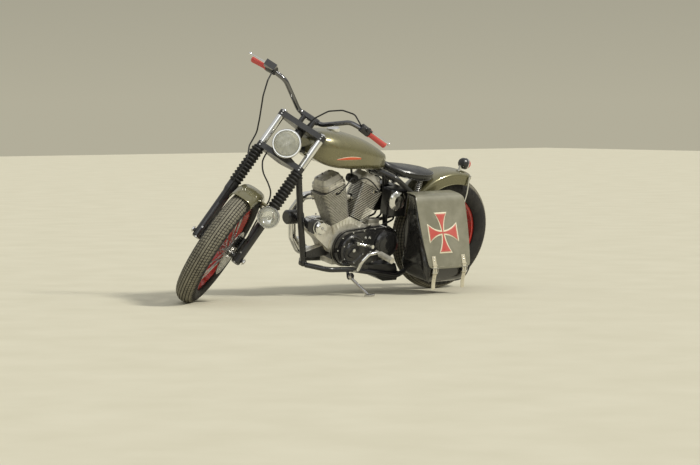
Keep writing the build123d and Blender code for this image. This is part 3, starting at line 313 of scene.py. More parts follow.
def paint(name, color, dark, coat, flake, rough):
    shader = Shader(name, coat=coat, coat_rough=0.06, metal=flake)
    base = shader.mix(shader.cloud(7, 3, 0.35, 0.65), dark, color)
    sparks = shader.mix(shader.cloud(900, 2, 0.35, 0.65, 0.0, 0.25), base, tuple(min(1, 1.25 * c) for c in color))
    return shader.finished(sparks, (26, 4, 0.3, 0.7, rough * 0.8, rough * 1.35), 320, 0.04)


def black_paint(name, rough, dust, tone):
    shader = Shader(name, coat=0.5, coat_rough=0.08)
    soil = shader.cloud(11, 5, 0.5, 0.85, 0.0, dust, 0.65)
    color = shader.mix(soil, (tone, tone, tone * 1.1), (0.12, 0.105, 0.08))
    return shader.finished(color, (30, 4, 0.3, 0.75, rough * 0.7, rough * 1.6), 280, 0.05)


def chrome(name, color=(0.82, 0.82, 0.8), low=0.04, high=0.17):
    shader = Shader(name, metal=1.0)
    tint = shader.mix(shader.cloud(9, 3, 0.4, 0.7), color, tuple(0.86 * c for c in color))
    return shader.finished(tint, (38, 5, 0.35, 0.75, low, high, 0.6), 60, 0.02, 0.0005)


def alloy(name, color, dark, rough=0.36, grain=0.25, scale=520, edges=None, shown=0.5):
    """Cast aluminium that has dulled, darker where the dirt stays and brighter on its edges."""
    shader = Shader(name, metal=0.65)
    base = shader.mix(shader.cloud(16, 5, 0.42, 0.72, rough=0.62), color, dark)
    edge = shader.math("MULTIPLY", shader.worn(0.002), shown)
    bright = shader.mix(edge, base, edges or tuple(min(1, 1.2 * c) for c in color))
    return shader.finished(bright, (70, 4, 0.3, 0.75, rough * 0.75, rough * 1.4), scale, grain, 0.0006, 3)


def rubber(name, color, rough, dust, dusty=(0.16, 0.15, 0.12)):
    shader = Shader(name, specular=0.35)
    soiled = shader.mix(shader.cloud(14, 5, 0.45, 0.85, 0.0, dust, 0.7), color, dusty)
    return shader.finished(soiled, (60, 3, 0.3, 0.7, rough * 0.85, min(1.0, rough * 1.2)), 700, 0.12)


def leather(name, color, worn, rough, scale, crease, gloss, polish=0.24):
    """Grain from small cells, long creases and rubbed high spots."""
    shader = Shader(name, coat=gloss, coat_rough=polish, specular=0.5)
    cloud = shader.math("MULTIPLY", shader.cloud(9, 4, 0.4, 0.75, rough=0.6), 0.5)
    rub = shader.math("MULTIPLY", shader.worn(0.004), 0.7)
    shader.set(color=shader.mix(shader.math("MAXIMUM", cloud, rub), color, worn))
    shader.set(rough=shader.cloud(45, 4, 0.3, 0.7, rough * 0.8, rough * 1.3))
    cells = {"Vector": shader.place, "Scale": scale, "Randomness": 1.0}
    pores = shader.math("MULTIPLY", shader.node("TexVoronoi", cells, feature="SMOOTH_F1").outputs["Distance"], 0.7)
    tall = shader.vector("MULTIPLY", shader.place, (1, 1, 0.45))
    folds = shader.span(shader.noise(18, 4, 0.55, tall), 0.35, 0.65, 0.0, crease)
    return shader.bump(shader.math("ADD", pores, folds), 0.35, 0.0009)


def wheel_material(name, centre, axis, rim_radius):
    """Red rim, bright spokes and a polished hub, told apart by distance from the axle."""
    shader = Shader(name)
    radius, _ = shader.wheel_space(centre, axis)
    painted = shader.span(radius, rim_radius - 0.0125, rim_radius - 0.0115)
    stain = shader.cloud(30, 4, 0.4, 0.75)
    red = shader.mix(stain, (0.5, 0.03, 0.022), (0.36, 0.025, 0.02))
    steel = shader.mix(stain, (0.62, 0.61, 0.58), (0.3, 0.28, 0.24))
    shader.set(metal=shader.span(painted, 0.0, 1.0, 1.0, 0.0), coat=shader.math("MULTIPLY", painted, 0.6))
    return shader.finished(shader.mix(painted, steel, red), (50, 3, 0.3, 0.7, 0.16, 0.34), 300, 0.05)


def tread_material(name, centre, axis, radius, section):
    """Black rubber, with beige on the tread's outer skin and none in its grooves: road dust and painted sunlight."""
    shader = Shader(name, specular=0.3)
    out, along = shader.wheel_space(centre, axis)
    lift = shader.math("SUBTRACT", out, radius - section)
    squares = shader.math("ADD", shader.math("MULTIPLY", lift, lift), shader.math("MULTIPLY", along, along))
    skin = shader.span(shader.math("SQRT", squares), section - 0.0022, section - 0.0006)
    skin = shader.math("MULTIPLY", skin, shader.span(out, radius - 0.034, radius - 0.02))
    # The beige on the ribs is road dust and a painted sunlit highlight, while the grooves keep the dark rubber
    worn = shader.math("MULTIPLY", skin, shader.cloud(24, 5, 0.25, 0.7, 0.45, 0.9, 0.7))
    wall = shader.mix(shader.cloud(14, 5, 0.45, 0.85, 0.0, 0.35, 0.7), (0.02, 0.019, 0.018), (0.1, 0.092, 0.075))
    return shader.finished(shader.mix(worn, wall, (0.3, 0.28, 0.215)), (60, 3, 0.3, 0.7, 0.6, 0.85), 700, 0.12)


OLIVE = paint("olive_paint", (0.185, 0.168, 0.082), (0.14, 0.13, 0.066), 0.9, 0.4, 0.24)
STRIPE = paint("orange_stripe", (0.62, 0.09, 0.02), (0.5, 0.07, 0.02), 0.6, 0.0, 0.35)
CREAM_LINE = paint("cream_line", (0.66, 0.6, 0.42), (0.6, 0.54, 0.38), 0.5, 0.0, 0.4)
BLACK = black_paint("gloss_black", 0.34, 0.1, 0.01)
TREE_BLACK = black_paint("tree_black", 0.5, 0.08, 0.008)
SATIN_BLACK = black_paint("satin_black", 0.42, 0.2, 0.016)
COVER_BLACK = black_paint("cover_black", 0.2, 0.16, 0.014)
CHROME = chrome("chrome")
BLACK_CHROME = chrome("black_chrome", (0.2, 0.2, 0.205), 0.08, 0.2)
DULL_CHROME = chrome("dull_chrome", (0.6, 0.59, 0.57), 0.16, 0.34)
REFLECTOR = chrome("reflector", (0.93, 0.93, 0.9), 0.05, 0.14)
CASE_ALLOY = alloy("case_alloy", (0.74, 0.72, 0.65), (0.42, 0.4, 0.34))
HEAD_ALLOY = alloy("head_alloy", (0.58, 0.56, 0.5), (0.3, 0.28, 0.23), 0.42)
# The front cylinder's alloy, darkened as painted shade in the recesses between its fins
FIN_ALLOY_IN_PAINTED_SHADE = alloy("fin_alloy_in_painted_shade", (0.3, 0.29, 0.26), (0.15, 0.14, 0.12), 0.45, 0.2, 400)
FIN_EDGE = alloy("fin_edge", (0.78, 0.76, 0.68), (0.6, 0.57, 0.48), 0.34, 0.1, 300)
# The case alloy made lighter as a painted sunlit highlight, laid on the crankcase's top ribs
PAINTED_SUNLIT_CAST = alloy("painted_sunlit_cast", (0.9, 0.885, 0.82), (0.62, 0.6, 0.53), 0.4, 0.2, 420)
# The rear cylinder's fins: near black as painted shade over what is the same alloy as the front cylinder, with bright
# rims
FINS_IN_PAINTED_SHADE = alloy("fins_in_painted_shade", (0.03, 0.03, 0.03), (0.02, 0.02, 0.02), 0.5, 0.1, 400, (0.62, 0.6, 0.52), 1.0)
BARE_STEEL = alloy("bare_steel", (0.42, 0.4, 0.37), (0.2, 0.18, 0.15), 0.4, 0.15, 300)
CHAIN_STEEL = alloy("chain_steel", (0.24, 0.22, 0.19), (0.07, 0.06, 0.05), 0.45, 0.2, 300)
TYRE = rubber("tyre_rubber", (0.022, 0.021, 0.02), 0.72, 0.5, (0.13, 0.12, 0.1))
RUBBER = rubber("black_rubber", (0.014, 0.014, 0.014), 0.5, 0.2)
HOSE = rubber("hose_rubber", (0.012, 0.012, 0.012), 0.4, 0.1)
RED_GRIP = rubber("red_rubber", (0.58, 0.085, 0.075), 0.42, 0.3, (0.62, 0.2, 0.17))
THREAD = rubber("thread", (0.5, 0.47, 0.38), 0.8, 0.3, (0.3, 0.28, 0.22))
SEAT_LEATHER = leather("seat_leather", (0.009, 0.0095, 0.009), (0.03, 0.029, 0.026), 0.3, 360, 0.25, 0.4)
BAG_LEATHER = leather("bag_leather", (0.008, 0.0078, 0.0075), (0.026, 0.024, 0.021), 0.22, 300, 0.6, 1.0, 0.13)
FLAP_LEATHER = leather("flap_leather", (0.165, 0.158, 0.108), (0.34, 0.325, 0.25), 0.42, 340, 0.35, 0.55, 0.3)
STRAP_LEATHER = leather("strap_leather", (0.5, 0.46, 0.34), (0.66, 0.62, 0.5), 0.55, 380, 0.3, 0.05)
CROSS_RED = leather("cross_red", (0.46, 0.055, 0.042), (0.56, 0.2, 0.16), 0.45, 420, 0.2, 0.15)
CROSS_CREAM = leather("cross_cream", (0.66, 0.6, 0.42), (0.74, 0.7, 0.56), 0.5, 420, 0.2, 0.1)
RED_LENS = Shader("red_lens", color=(0.6, 0.02, 0.015), rough=0.12, coat=0.6, scatter=0.2).flutes(2, 1600.0, 0.3)
LAMP_GLASS = Shader("lamp_glass", color=(0.62, 0.62, 0.53), rough=0.03, coat=1.0, coat_rough=0.02, ior=1.45,
                    alpha=0.2).flutes(1, 900.0, 0.25)
BULB = Shader("bulb_glass", color=(0.9, 0.9, 0.86), rough=0.1, clear=0.4)
BULB = BULB.bump(BULB.noise(60, 2), 0.02, 0.0004)
FRONT_AXIS, REAR_AXIS = ((place @ Vector(LEFT) - place @ Vector()).normalized() for place in (FORK, BIKE))
FRONT_CENTRE, REAR_CENTRE = FORK @ Vector(FRONT_AXLE), BIKE @ Vector(REAR_AXLE)
FRONT_WHEEL = wheel_material("front_wheel_finish", FRONT_CENTRE, FRONT_AXIS, 0.241)
REAR_WHEEL = wheel_material("rear_wheel_finish", REAR_CENTRE, REAR_AXIS, 0.203)

FINISHES = (
    (BLACK, "frame_backbone frame_downtube frame_rail_left frame_rail_right frame_stay_left frame_stay_right"),
    (BLACK, "frame_seat_post oil_tank fork_legs"),
    (TREE_BLACK, "fork_trees"),
    (SATIN_BLACK, "generator oil_filter battery_box hand_controls"),
    (COVER_BLACK, "primary_cover"),
    (OLIVE, "fuel_tank rear_fender front_fender"),
    (CHROME, "intake exhaust_pipes tank_cover fuel_cap fender_struts foot_controls_left foot_controls_right"),
    (CHROME, "fork_tubes headlight spot_lamp tail_lamp"),
    (BLACK_CHROME, "handlebar"),
    (DULL_CHROME, "seat_springs side_stand"),
    (CASE_ALLOY, "crankcase gear_cover"),
    (HEAD_ALLOY, "rocker_boxes"),
    (FIN_ALLOY_IN_PAINTED_SHADE, "front_cylinder"),
    (FINS_IN_PAINTED_SHADE, "rear_cylinder"),
    (BARE_STEEL, "rear_brake"),
    (CHAIN_STEEL, "drive_sprocket drive_chain"),
    (SEAT_LEATHER, "seat"),
    (BAG_LEATHER, "saddlebag"),
    (FLAP_LEATHER, "bag_flap"),
    (TYRE, "rear_tyre front_tyre"),
    (REAR_WHEEL, "rear_wheel"),
    (FRONT_WHEEL, "front_wheel"),
    (RUBBER, "fork_boots"),
    (RED_GRIP, "grips"),
    (HOSE, "cables"),
)
for material, names in FINISHES:
    for name in names.split():
        NODES[name].data.materials.clear()
        NODES[name].data.materials.append(material)


# Tyres: grooved tread with blocks at its shoulders, raised lines on the walls
# Angles across the section at which the shoulder and the wall begin, and half a groove
SHOULDER, WALL, GROOVE = 58, 84, 2.6


def tread_depth(angle, turn, ribs, blocks):
    """How far the tread is cut below its crown, in millimetres, at an angle across and a place round the tyre."""
    across = abs(angle)
    if across < SHOULDER:
        for groove in ribs:
            away = abs(across - groove)
            if away < GROOVE:
                return 3.6 * (1 - (away / GROOVE) ** 4)
        phase = (turn * blocks + math.copysign(0.16, angle) * across / 10) % 1
        return 2.6 if phase < 0.16 and across > ribs[0] else 0.0
    if across < WALL:
        return 2.8 if (turn * blocks / 2 + across / 40) % 1 < 0.3 else 0.0
    return 0.0


def tyre_skin(node, radius, section, inner, place, ribs, blocks, centre, axis):
    body = node.replace("tyre", "wheel")
    crown = radius - section
    reach = math.degrees(math.acos((inner - crown) / section))
    edges = [groove + offset for groove in ribs for offset in (-2.7, -1.4, 0, 1.4, 2.7)]
    edges += [SHOULDER, SHOULDER + 1, WALL - 1, WALL + 1, reach]
    angles = sorted({*np.linspace(-reach, reach, 37), *(side * edge for side in SIDES for edge in edges)})
    segments = 6 * blocks
    points = []
    for step, (x, y) in enumerate(circle(segments)):
        for angle in angles:
            depth = tread_depth(angle, step / segments, ribs, blocks)
            if abs(angle) > 90:
                line = min(abs(abs(angle) - mark) for mark in (98, 112))
                depth += 0.7 - 0.7 * max(0, 1 - line / 1.6)
            out = crown + (section - depth) * math.cos(math.radians(angle))
            points.append((out * x, out * y, (section - depth) * math.sin(math.radians(angle))))
    material = tread_material(node[:-5] + "_tread", centre, axis, radius / 1000, section / 1000)
    faces = grid_faces(segments, len(angles), True, True)
    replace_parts(piece(node + "_tread", points, faces, body, material, 30, place), node)


tyre_skin("front_tyre", FRONT_RADIUS, 55, 251, FRONT_HUB, (8, 24, 42), 120, FRONT_CENTRE, FRONT_AXIS)
tyre_skin("rear_tyre", REAR_RADIUS, 65, 213, REAR_HUB, (7, 22, 38), 110, REAR_CENTRE, REAR_AXIS)


# Second finishes on the CAD's own faces

def finish_faces(node, place, material, test):
    """Another finish for the faces of a CAD node whose centre and normal, in local millimetres, pass a test."""
    mesh = NODES[node].data
    mesh.materials.append(material)
    slot = len(mesh.materials) - 1
    to_local = place.inverted() @ NODES[node].matrix_world
    turn = to_local.to_3x3()
    for face in mesh.polygons:
        if test(to_local @ face.center, (turn @ face.normal).normalized()):
            face.material_index = slot


def near_line(start, end, reach):
    start, along = Vector(start), Vector(end) - Vector(start)

    def test(point, _):
        share = min(1, max(0, (point - start).dot(along) / along.length_squared))
        return (point - start - along * share).length < reach
    return test


def bar_points(side):
    """The handlebar's two outer bends on one side, in the fork frame."""
    return Vector((119, side * 298, 377)), Vector((59, side * 407, 382))


for side in SIDES:
    inner, tip = bar_points(side)
    ahead = Vector((0.87, side * 0.46, 0.1)).normalized()
    lever_start = inner + (tip - inner).normalized() * 24 + ahead * 42
    finish_faces("hand_controls", FORK, CHROME, near_line(lever_start, tip + ahead * 54, 9.6))
finish_faces("generator", BIKE, CHROME, lambda p, _: p.y > 83 or p.y < 20)
finish_faces("crankcase", BIKE, BLACK, lambda p, _: p.z < 262 and p.x > 790)
# The crankcase's top ribs get a painted sunlit highlight
finish_faces("crankcase", BIKE, PAINTED_SUNLIT_CAST, lambda p, _: p.y > 54 and p.z > 395 and (p - CRANK).xz.length > 113)
finish_faces("intake", BIKE, CASE_ALLOY, lambda p, _: p.y > -150)
finish_faces("gear_cover", BIKE, CHROME, lambda p, _: p.z > 360 and p.y > -96)
finish_faces("handlebar", FORK, SATIN_BLACK, lambda p, _: abs(p.y) < 52 and p.z < 322)
finish_faces("foot_controls_left", BIKE, CASE_ALLOY, near_line((608, 208, 290), (600, 334, 274), 18))
# The fins' outer rims keep the bright alloy, and the rest of each cylinder is darkened as painted shade in the recesses
# between the fins
for node, lean in (("front_cylinder", 1), ("rear_cylinder", -1)):
    finish_faces(node, BIKE @ CYLINDER[lean], FIN_EDGE, lambda p, facing: (
        abs(facing.z) < 0.3 and 156 < p.z < 342 and max(abs(p.x), abs(p.y - 10)) > 53))


# Fork: pleated boots, caps and nuts

def boot_profile(low, high, ribs, inner, valley, crest):
    """Rounded pleats up the outside, then straight down the inside."""
    rows = []
    for step in range(ribs * 10 + 1):
        share = step / (ribs * 10)
        wave = 0.5 - 0.5 * math.cos(2 * math.pi * share * ribs)
        rows.append((valley + (crest - valley) * wave ** 0.7, low + 8 + (high - low - 16) * share))
    cuffs = [(inner, low), (valley + 2.5, low), (valley + 3, low + 6)]
    tops = [(valley + 3, high - 6), (valley + 2.5, high), (inner, high)]
    return [*cuffs, *rows, *tops]


def on_leg(side, height):
    return Matrix.Translation((FORK_OFFSET, side * TUBE_Y, height))


boots = [turned(boot_profile(-220, 12, 11, 20.2, 25.5, 34), on_leg(side, 0), 56, True) for side in SIDES]
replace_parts(gathered("fork_boot_pleats", boots, "fork", RUBBER, 60), "fork_boots")
caps = [turned([(0, 0), (22, 0), (22, 7), (18, 11), (0, 13)], Matrix.Translation((0, 0, 242)), 40)]
nuts = []
for side in SIDES:
    caps.append(turned([(0, 0), (19, 0), (19, 5), (17, 8), (12, 9), (11, 7), (0, 7)], on_leg(side, 242), 40))
    caps.append(bolt(9, 5, on_leg(side, 249)))
    nuts += screws(4.5, 6, [(78, side * TUBE_Y, height) for height in (20, 34, 220, 234)], FORWARD)
    nuts += bolts(13, 9, [(FORK_OFFSET, side * 153, -AXLE_DROP)], (0, side, 0))
    nuts += screws(5, 6, [(72, side * 118, lift - AXLE_DROP) for lift in (-30, 30)], (1, side * 0.2, 0))
gathered("fork_top_caps", caps, "fork", CHROME)
gathered("fork_bolts", nuts, "fork", DULL_CHROME)


# Grips: ribbed rubber with a flange and a rounded end

def grip_profile(length):
    rows = [(12.9, 0), (21, 0), (21.5, 3), (21, 6), (17.5, 8)]
    steps = 17 * 4
    for step in range(steps + 1):
        rows.append((16.2 + 0.9 * math.sin(math.pi * (step % 4) / 4) ** 0.8, 9 + (length - 20) * step / steps))
    return [*rows, (17, length - 9), (17, length - 4), (15, length - 1), (10, length), (0, length)]


grips = []
for side in SIDES:
    inner, tip = bar_points(side)
    along = tip - inner
    grips.append(turned(grip_profile(along.length * 0.9), aimed(inner + along * 0.16, along), 40))
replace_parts(gathered("grip_rubbers", grips, "fork", RED_GRIP, 50), "grips")


# Lamps: chromed bowl, rim, mirror and fluted glass

def lamp(node, place, radius, depth, mounts):
    """A round lamp that looks along z, its rim at z 0 and its bowl behind. Profiles are in radii and millimetres."""
    bowl = [(0, -depth), (0.2, 1 - depth), (0.42, -0.88 * depth), (0.64, -0.68 * depth), (0.8, -0.42 * depth),
            (0.9, -0.18 * depth), (0.93, 0), (0.9, 0), (0.86, -0.18 * depth), (0.6, -0.62 * depth), (0, -0.9 * depth)]
    rim = [(0.92, 0), (0.99, 1), (1, 4), (1, 13), (0.98, 17), (0.94, 20), (0.88, 20), (0.87, 17), (0.9, 12), (0.9, 2)]
    mirror = [(0.88, 14), (0.86, 6), (0.7, -0.22 * depth), (0.45, -0.5 * depth), (0.16, -0.6 * depth),
              (0, -0.6 * depth)]
    bulb = [(0.09, -0.6 * depth), (0.1, -0.3 * depth), (0.12, -0.18 * depth), (0.08, -0.04 * depth), (0, 0)]
    front = [(0.87 * math.cos(a), 15 + 0.16 * radius * math.sin(a)) for a in np.linspace(0, math.pi / 2, 12)]
    glass = [*front, *((x * 0.985, z - 2.5) for x, z in reversed(front))]

    def shell(part, profile, material, segments=64, closed=False):
        profile = [(x * radius, z) for x, z in profile]
        return lathe(f"{node}_{part}", profile, place, "fork", material, segments, closed)

    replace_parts(shell("bowl", bowl, CHROME), node)
    shell("rim", rim, CHROME, 72, True)
    shell("mirror", mirror, REFLECTOR)
    shell("bulb", bulb, BULB, 24)
    shell("glass", glass, LAMP_GLASS)
    gathered(node + "_mount", mounts, "fork", CHROME)


lamp("headlight", FORK @ aimed((128, 0, 90), (0.985, 0, -0.17)), 77, 72,
     [strut((38, 0, 62), (66, 0, 74), 11), strut((38, 0, 42.3), (38, 0, 68), 12)])
spot, spot_aim = Vector((124, 140, -284)), Vector((0.98, 0.05, -0.16))
lamp("spot_lamp", FORK @ aimed(spot, spot_aim), 58, 34,
     [turned([(25.3, -10), (33, -10), (33, 10), (25.3, 10)], on_leg(1, -298), 48, True),
      strut((77, 125, -298), spot - spot_aim * 30, 8)])

# Tail lamp: black housing, chrome ring and red glass on its bracket
TAIL = BIKE @ aimed((-112, 0, 702), (-0.98, 0, -0.2))
housing = [(0, -22), (12, -21), (24, -18), (30, -8), (31, 4), (31, 14), (0, 14)]
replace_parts(lathe("tail_housing", housing, TAIL, "frame", BLACK), "tail_lamp")
lathe("tail_ring", [(27, 12), (31.5, 12), (32, 15), (31, 19), (27, 20), (26, 16)], TAIL, "frame", CHROME, closed=True)
lathe("tail_lens", [(0, 15), (26, 15), (26.5, 24), (25, 31), (21, 37), (13, 41), (0, 43)], TAIL, "frame", RED_LENS)
lift = Vector((math.cos(math.radians(104.5)), 0, math.sin(math.radians(104.5))))
foot, head = (Vector(REAR_AXLE) + lift * reach for reach in (358.3, 382))
gathered("tail_bracket", [strut(foot, head, 9)], "frame", CHROME)


# Soft goods: pressure fills a skin as padding does, and no point moves further than its cap

def puffed(made, pressure, cap):
    """Swell a piece with Blender's cloth, with each point held within cap millimetres of where it started."""
    mesh = made.data
    start = np.array([v.co for v in mesh.vertices])
    cloth = made.modifiers.new("padding", "CLOTH")
    settings = cloth.settings
    settings.quality, settings.mass = 6, 0.3
    settings.use_pressure, settings.uniform_pressure_force = True, pressure
    settings.tension_stiffness = settings.compression_stiffness = 20
    settings.bending_stiffness = 0.8
    settings.effector_weights.gravity = 0
    cloth.collision_settings.use_collision = False
    for number in range(1, 21):
        bpy.context.scene.frame_set(number)
    swollen = made.evaluated_get(bpy.context.evaluated_depsgraph_get()).data
    move = np.array([v.co for v in swollen.vertices]) - start
    made.modifiers.remove(cloth)
    far = np.linalg.norm(move, axis=1, keepdims=True)
    limit = cap * 0.001
    capped = start + move / np.maximum(far, 1e-9) * limit * np.tanh(far / limit)
    mesh.vertices.foreach_set("co", capped.ravel())
    mesh.update()
    bpy.context.scene.frame_set(1)


def cushion(name, rings, material, pressure, cap, levels):
    """A closed skin over a stack of rings, swollen and then rounded."""
    faces = grid_faces(len(rings), len(rings[0]), True, caps=True)
    made = piece(name, [point for ring in rings for point in ring], faces, "frame", material, 179)
    puffed(made, pressure, cap)
    smooth = made.modifiers.new("rounder", "SUBSURF")
    smooth.levels = smooth.render_levels = levels
    return made


def between(value, table):
    """Each column of a table of numbers, at a value of its first column."""
    first, *columns = zip(*table)
    return [float(np.interp(value, first, column)) for column in columns]


# Seat: a skirt, a piped seam and a crowned top, in sections from rear to front
# Rows are x, half width, underside and top
SEAT_ROWS = ((142, 30, 660, 684), (150, 52, 656, 687), (166, 76, 650, 690), (190, 98, 643, 694), (222, 112, 637, 697),
             (266, 118, 640, 702), (310, 119, 643, 706), (352, 110, 650, 711), (396, 93, 658, 716), (426, 70, 669, 724),
             (452, 45, 682, 732), (466, 32, 690, 736), (474, 22, 696, 738))
STATIONS = (142, 145, 152, 160, 170, 182, *range(196, 213, 16), *range(230, 411, 18), 426, 440, 452, 462, 470, 474)


def seat_ring(x, inset=1.5):
    half, low, high = between(x, SEAT_ROWS)
    half, low, high = half - inset, low + inset, high - inset
    seam = low + 0.56 * (high - low)
    base = [(y * half, low) for y in (-0.66, -0.33, 0, 0.33, 0.66)]
    flank = [(half * y, low + (seam - low) * rise)
             for y, rise in ((0.86, 0), (0.95, 0.1), (0.985, 0.35), (1.0, 0.7), (0.985, 1.0))]
    flank += [(half * y * 0.985, seam + 2 + (high - seam - 2) * (1 - y ** 3.2) ** 0.62)
              for y in (0.93, 0.85, 0.74, 0.6, 0.44, 0.24)]
    return [(x, *row) for row in (*base, *flank, (0, high), *((-y, z) for y, z in reversed(flank)))]


def seat_edge(rise, inward):
    """A closed line round the seat at a share of its height."""
    line = []
    for x in STATIONS[1:-1]:
        half, low, high = between(x, SEAT_ROWS)
        line.append((x, half - inward, low + rise * (high - low)))
    return line + [(x, -y, z) for x, y, z in reversed(line)]


seat = cushion("seat_cushion", [seat_ring(x) for x in STATIONS], SEAT_LEATHER, 3.0, 3.5, 2)
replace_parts(seat, "seat")
piping = [tube(seat_edge(0.58, 1.2), 3.4, 10, True), tube(seat_edge(0.1, 5), 2.2, 8, True)]
gathered("seat_piping", piping, "frame", BAG_LEATHER, 60)

# Seat springs: wire coils between a cup on the frame's lug and a plate under the pan
coils, cups = [], []
for side in SIDES:
    low, high = Vector((296, side * 108, 574)), Vector((262, side * 88, 650))
    place = aimed(low, high - low)
    reach = (high - low).length * 0.86
    turns, steps = 6.5, 130
    line = []
    for step in range(steps + 1):
        share = step / steps
        angle = 2 * math.pi * turns * share
        swell = 13.6 + 1.2 * math.sin(math.pi * share)
        line.append((swell * math.cos(angle), swell * math.sin(angle), 3 + (reach - 6) * share))
    coils.append((*tube(line, 2.7, 8), place))
    cups.append(turned([(0, -3), (15, -3), (17, 0), (17, 4), (14, 4), (13, 1), (0, 1)], place, 32))
    cups.append(turned([(0, reach - 3), (14, reach - 3), (17, reach), (17, reach + 3), (0, reach + 3)], place, 32))
    cups.append(turned([(0, -3), (6, -3), (6, reach), (0, reach)], place, 20))
    stay_top, stay_foot = Vector((470, side * 130, 668)), Vector((28, side * 128, 356))
    down = (stay_foot - stay_top).normalized()
    root = low + (high - low) * 0.02
    stay = stay_top + down * (root - stay_top).dot(down)
    cups.append(strut(root, stay + (root - stay).normalized() * 14.3, 7))
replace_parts(gathered("spring_coils", coils, "frame", DULL_CHROME, 60), "seat_springs")
gathered("spring_cups", cups, "frame", SATIN_BLACK)


# Saddlebag: a wedge with gusseted ends and a rounded foot
# Rows are height, inner y, outer y and the share by which it narrows
BAG_ROWS = ((138.5, 170, 330, 0.5), (141, 160, 344, 0.4), (147, 156, 358, 0.31), (156, 152, 370, 0.23),
            (168, 149, 379, 0.165), (184, 146.5, 386, 0.105), (205, 145.5, 390, 0.05), (232, 145, 391, 0.015),
            (262, 145, 378, 0.0), (590, 145, 229, 0.0))
BAG_X, BAG_HALF = 240, 163


def bag_ring(z, shrink=1.0):
    """A rounded outline at a height, its ends folded in like a gusset."""
    back, front, narrow = between(z, BAG_ROWS)
    half_x, half_y = BAG_HALF * (1 - narrow) * shrink, ((front - back) / 2 - 2) * shrink
    depth = min(1, max(0, (z - 160) / 100)) * min(1, max(0, (590 - z) / 60))
    power = 2 / 7.5
    ring = []
    for c, s in circle(64):
        x, y = half_x * math.copysign(abs(c) ** power, c), half_y * math.copysign(abs(s) ** power, s)
        across = (y + half_y) / (2 * half_y)
        if abs(c) > abs(s) * 0.7:
            fold = math.sin(math.pi * across) * 17 + 13 * math.sin(5 * math.pi * across + z / 90)
            x -= math.copysign(fold * depth * min(1, half_y / 70), c)
        elif s > 0:
            y += (2.2 * math.sin(z / 47 + x / 80) - 2.2) * depth
        ring.append((BAG_X + x, (back + front) / 2 + y, z))
    return ring


levels = (138.5, 140, 144, 149, 155, 162, 170, 180, 192, 206, *np.linspace(222, 578, 31), 584, 588)
rings = [bag_ring(138.2, 0.6), *(bag_ring(z) for z in levels), bag_ring(588.8, 0.9), bag_ring(589, 0.5)]
bag = cushion("saddlebag_shell", rings, BAG_LEATHER, 2.0, 3.0, 1)
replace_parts(bag, "saddlebag")


def surface_of(made):
    """A way to find a piece's surface, in the upright bike's millimetres, looking in from one side."""
    shape = made.evaluated_get(bpy.context.evaluated_depsgraph_get()).data
    faces = [tuple(face.vertices) for face in shape.polygons]
    tree = BVHTree.FromPolygons([INTO_BIKE @ v.co for v in shape.vertices], faces)

    def face_y(x, z, fallback, side=1):
        hit = tree.ray_cast(Vector((x, side * 700, z)), Vector((0, -side, 0)))[0]
        return fallback if hit is None else hit.y
    return face_y


def thickened(made, depth):
    body = made.modifiers.new("thickness", "SOLIDIFY")
    body.thickness, body.offset = depth, 0
    return made


def flap_edges(z):
    """The flap's rear and front edges at a height, with rounded corners at its foot."""
    share = min(1, max(0, (590 - z) / 358))
    bow = math.sin(math.pi * share)
    round_top = 22 * min(1, max(0, (z - 572) / 22)) ** 2
    low = max(0, 1 - (z - 232) / 26)
    corner = 26 * (1 - math.sqrt(max(0, 1 - low * low)))
    return 72 + 30 * share - 10 * bow + round_top + corner, 412 - 24 * share + 7 * bow - 0.5 * round_top - corner


def flap_face(z):
    return 218.1 + 178 * (628 - z) / 393


bag_y = surface_of(bag)
flap_path = [(147, 593.8), (165, 594.2), (183, 594.4), (200, 594.4), (214, 593.6), (224, 591.4), (231.5, 587),
             (236.5, 580)]
flap_path += [(flap_face(z) - 0.06 * max(0, z - 560), z) for z in (572, *np.linspace(562, 232, 40))]
flap_points, columns = [], 40
for y, z in flap_path:
    rear, front = flap_edges(z)
    for column in range(columns):
        share = column / (columns - 1)
        x = rear + (front - rear) * share
        lift = 0.0
        if z < 570:
            lift = max(0.0, bag_y(min(398, max(82, x)), z, y - 6) + 3.2 - y)
            lift += 1.4 * math.sin(x / 52 + z / 70) * math.sin(math.pi * share) * min(1, (570 - z) / 120)
            lift -= 2.5 * (abs(2 * share - 1) ** 6) * min(1, (570 - z) / 200)
        flap_points.append((x, y + lift, z))
flap = piece("flap_leather", flap_points, grid_faces(len(flap_path), columns), "frame", FLAP_LEATHER, 179)
thickened(flap, 0.004)
edge = flap.modifiers.new("edge", "BEVEL")
edge.width, edge.segments, edge.limit_method = 0.0012, 2, "ANGLE"
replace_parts(flap, "bag_flap")
flap_y = surface_of(flap)


def on_flap(x, z, proud):
    return x, flap_y(x, z, flap_face(z) - 0.1) + proud, z


def stitches(line, length=5.0, gap=3.0):
    """Short thread stitches along a line of points."""
    parts, walked = [], 0.0
    for start, end in zip(line, line[1:]):
        start, end = Vector(start), Vector(end)
        span = (end - start).length
        at = -walked % (length + gap)
        while at + length <= span:
            way = (end - start) / span
            parts.append(tube([start + way * at, start + way * (at + length)], 0.7, 5))
            at += length + gap
        walked += span
    return parts


border = []
for side, inward in ((0, 9), (1, -9)):
    border += stitches([on_flap(flap_edges(z)[side] + inward, z, 0.2) for z in np.linspace(566, 262, 56)])
rear, front = flap_edges(262)
border += stitches([on_flap(x, 243, 0.2) for x in np.linspace(rear + 16, front - 16, 30)])
gathered("flap_stitching", border, "frame", THREAD)


# The cross on the flap: four flaring arms with hollow sides, a red face on a cream one

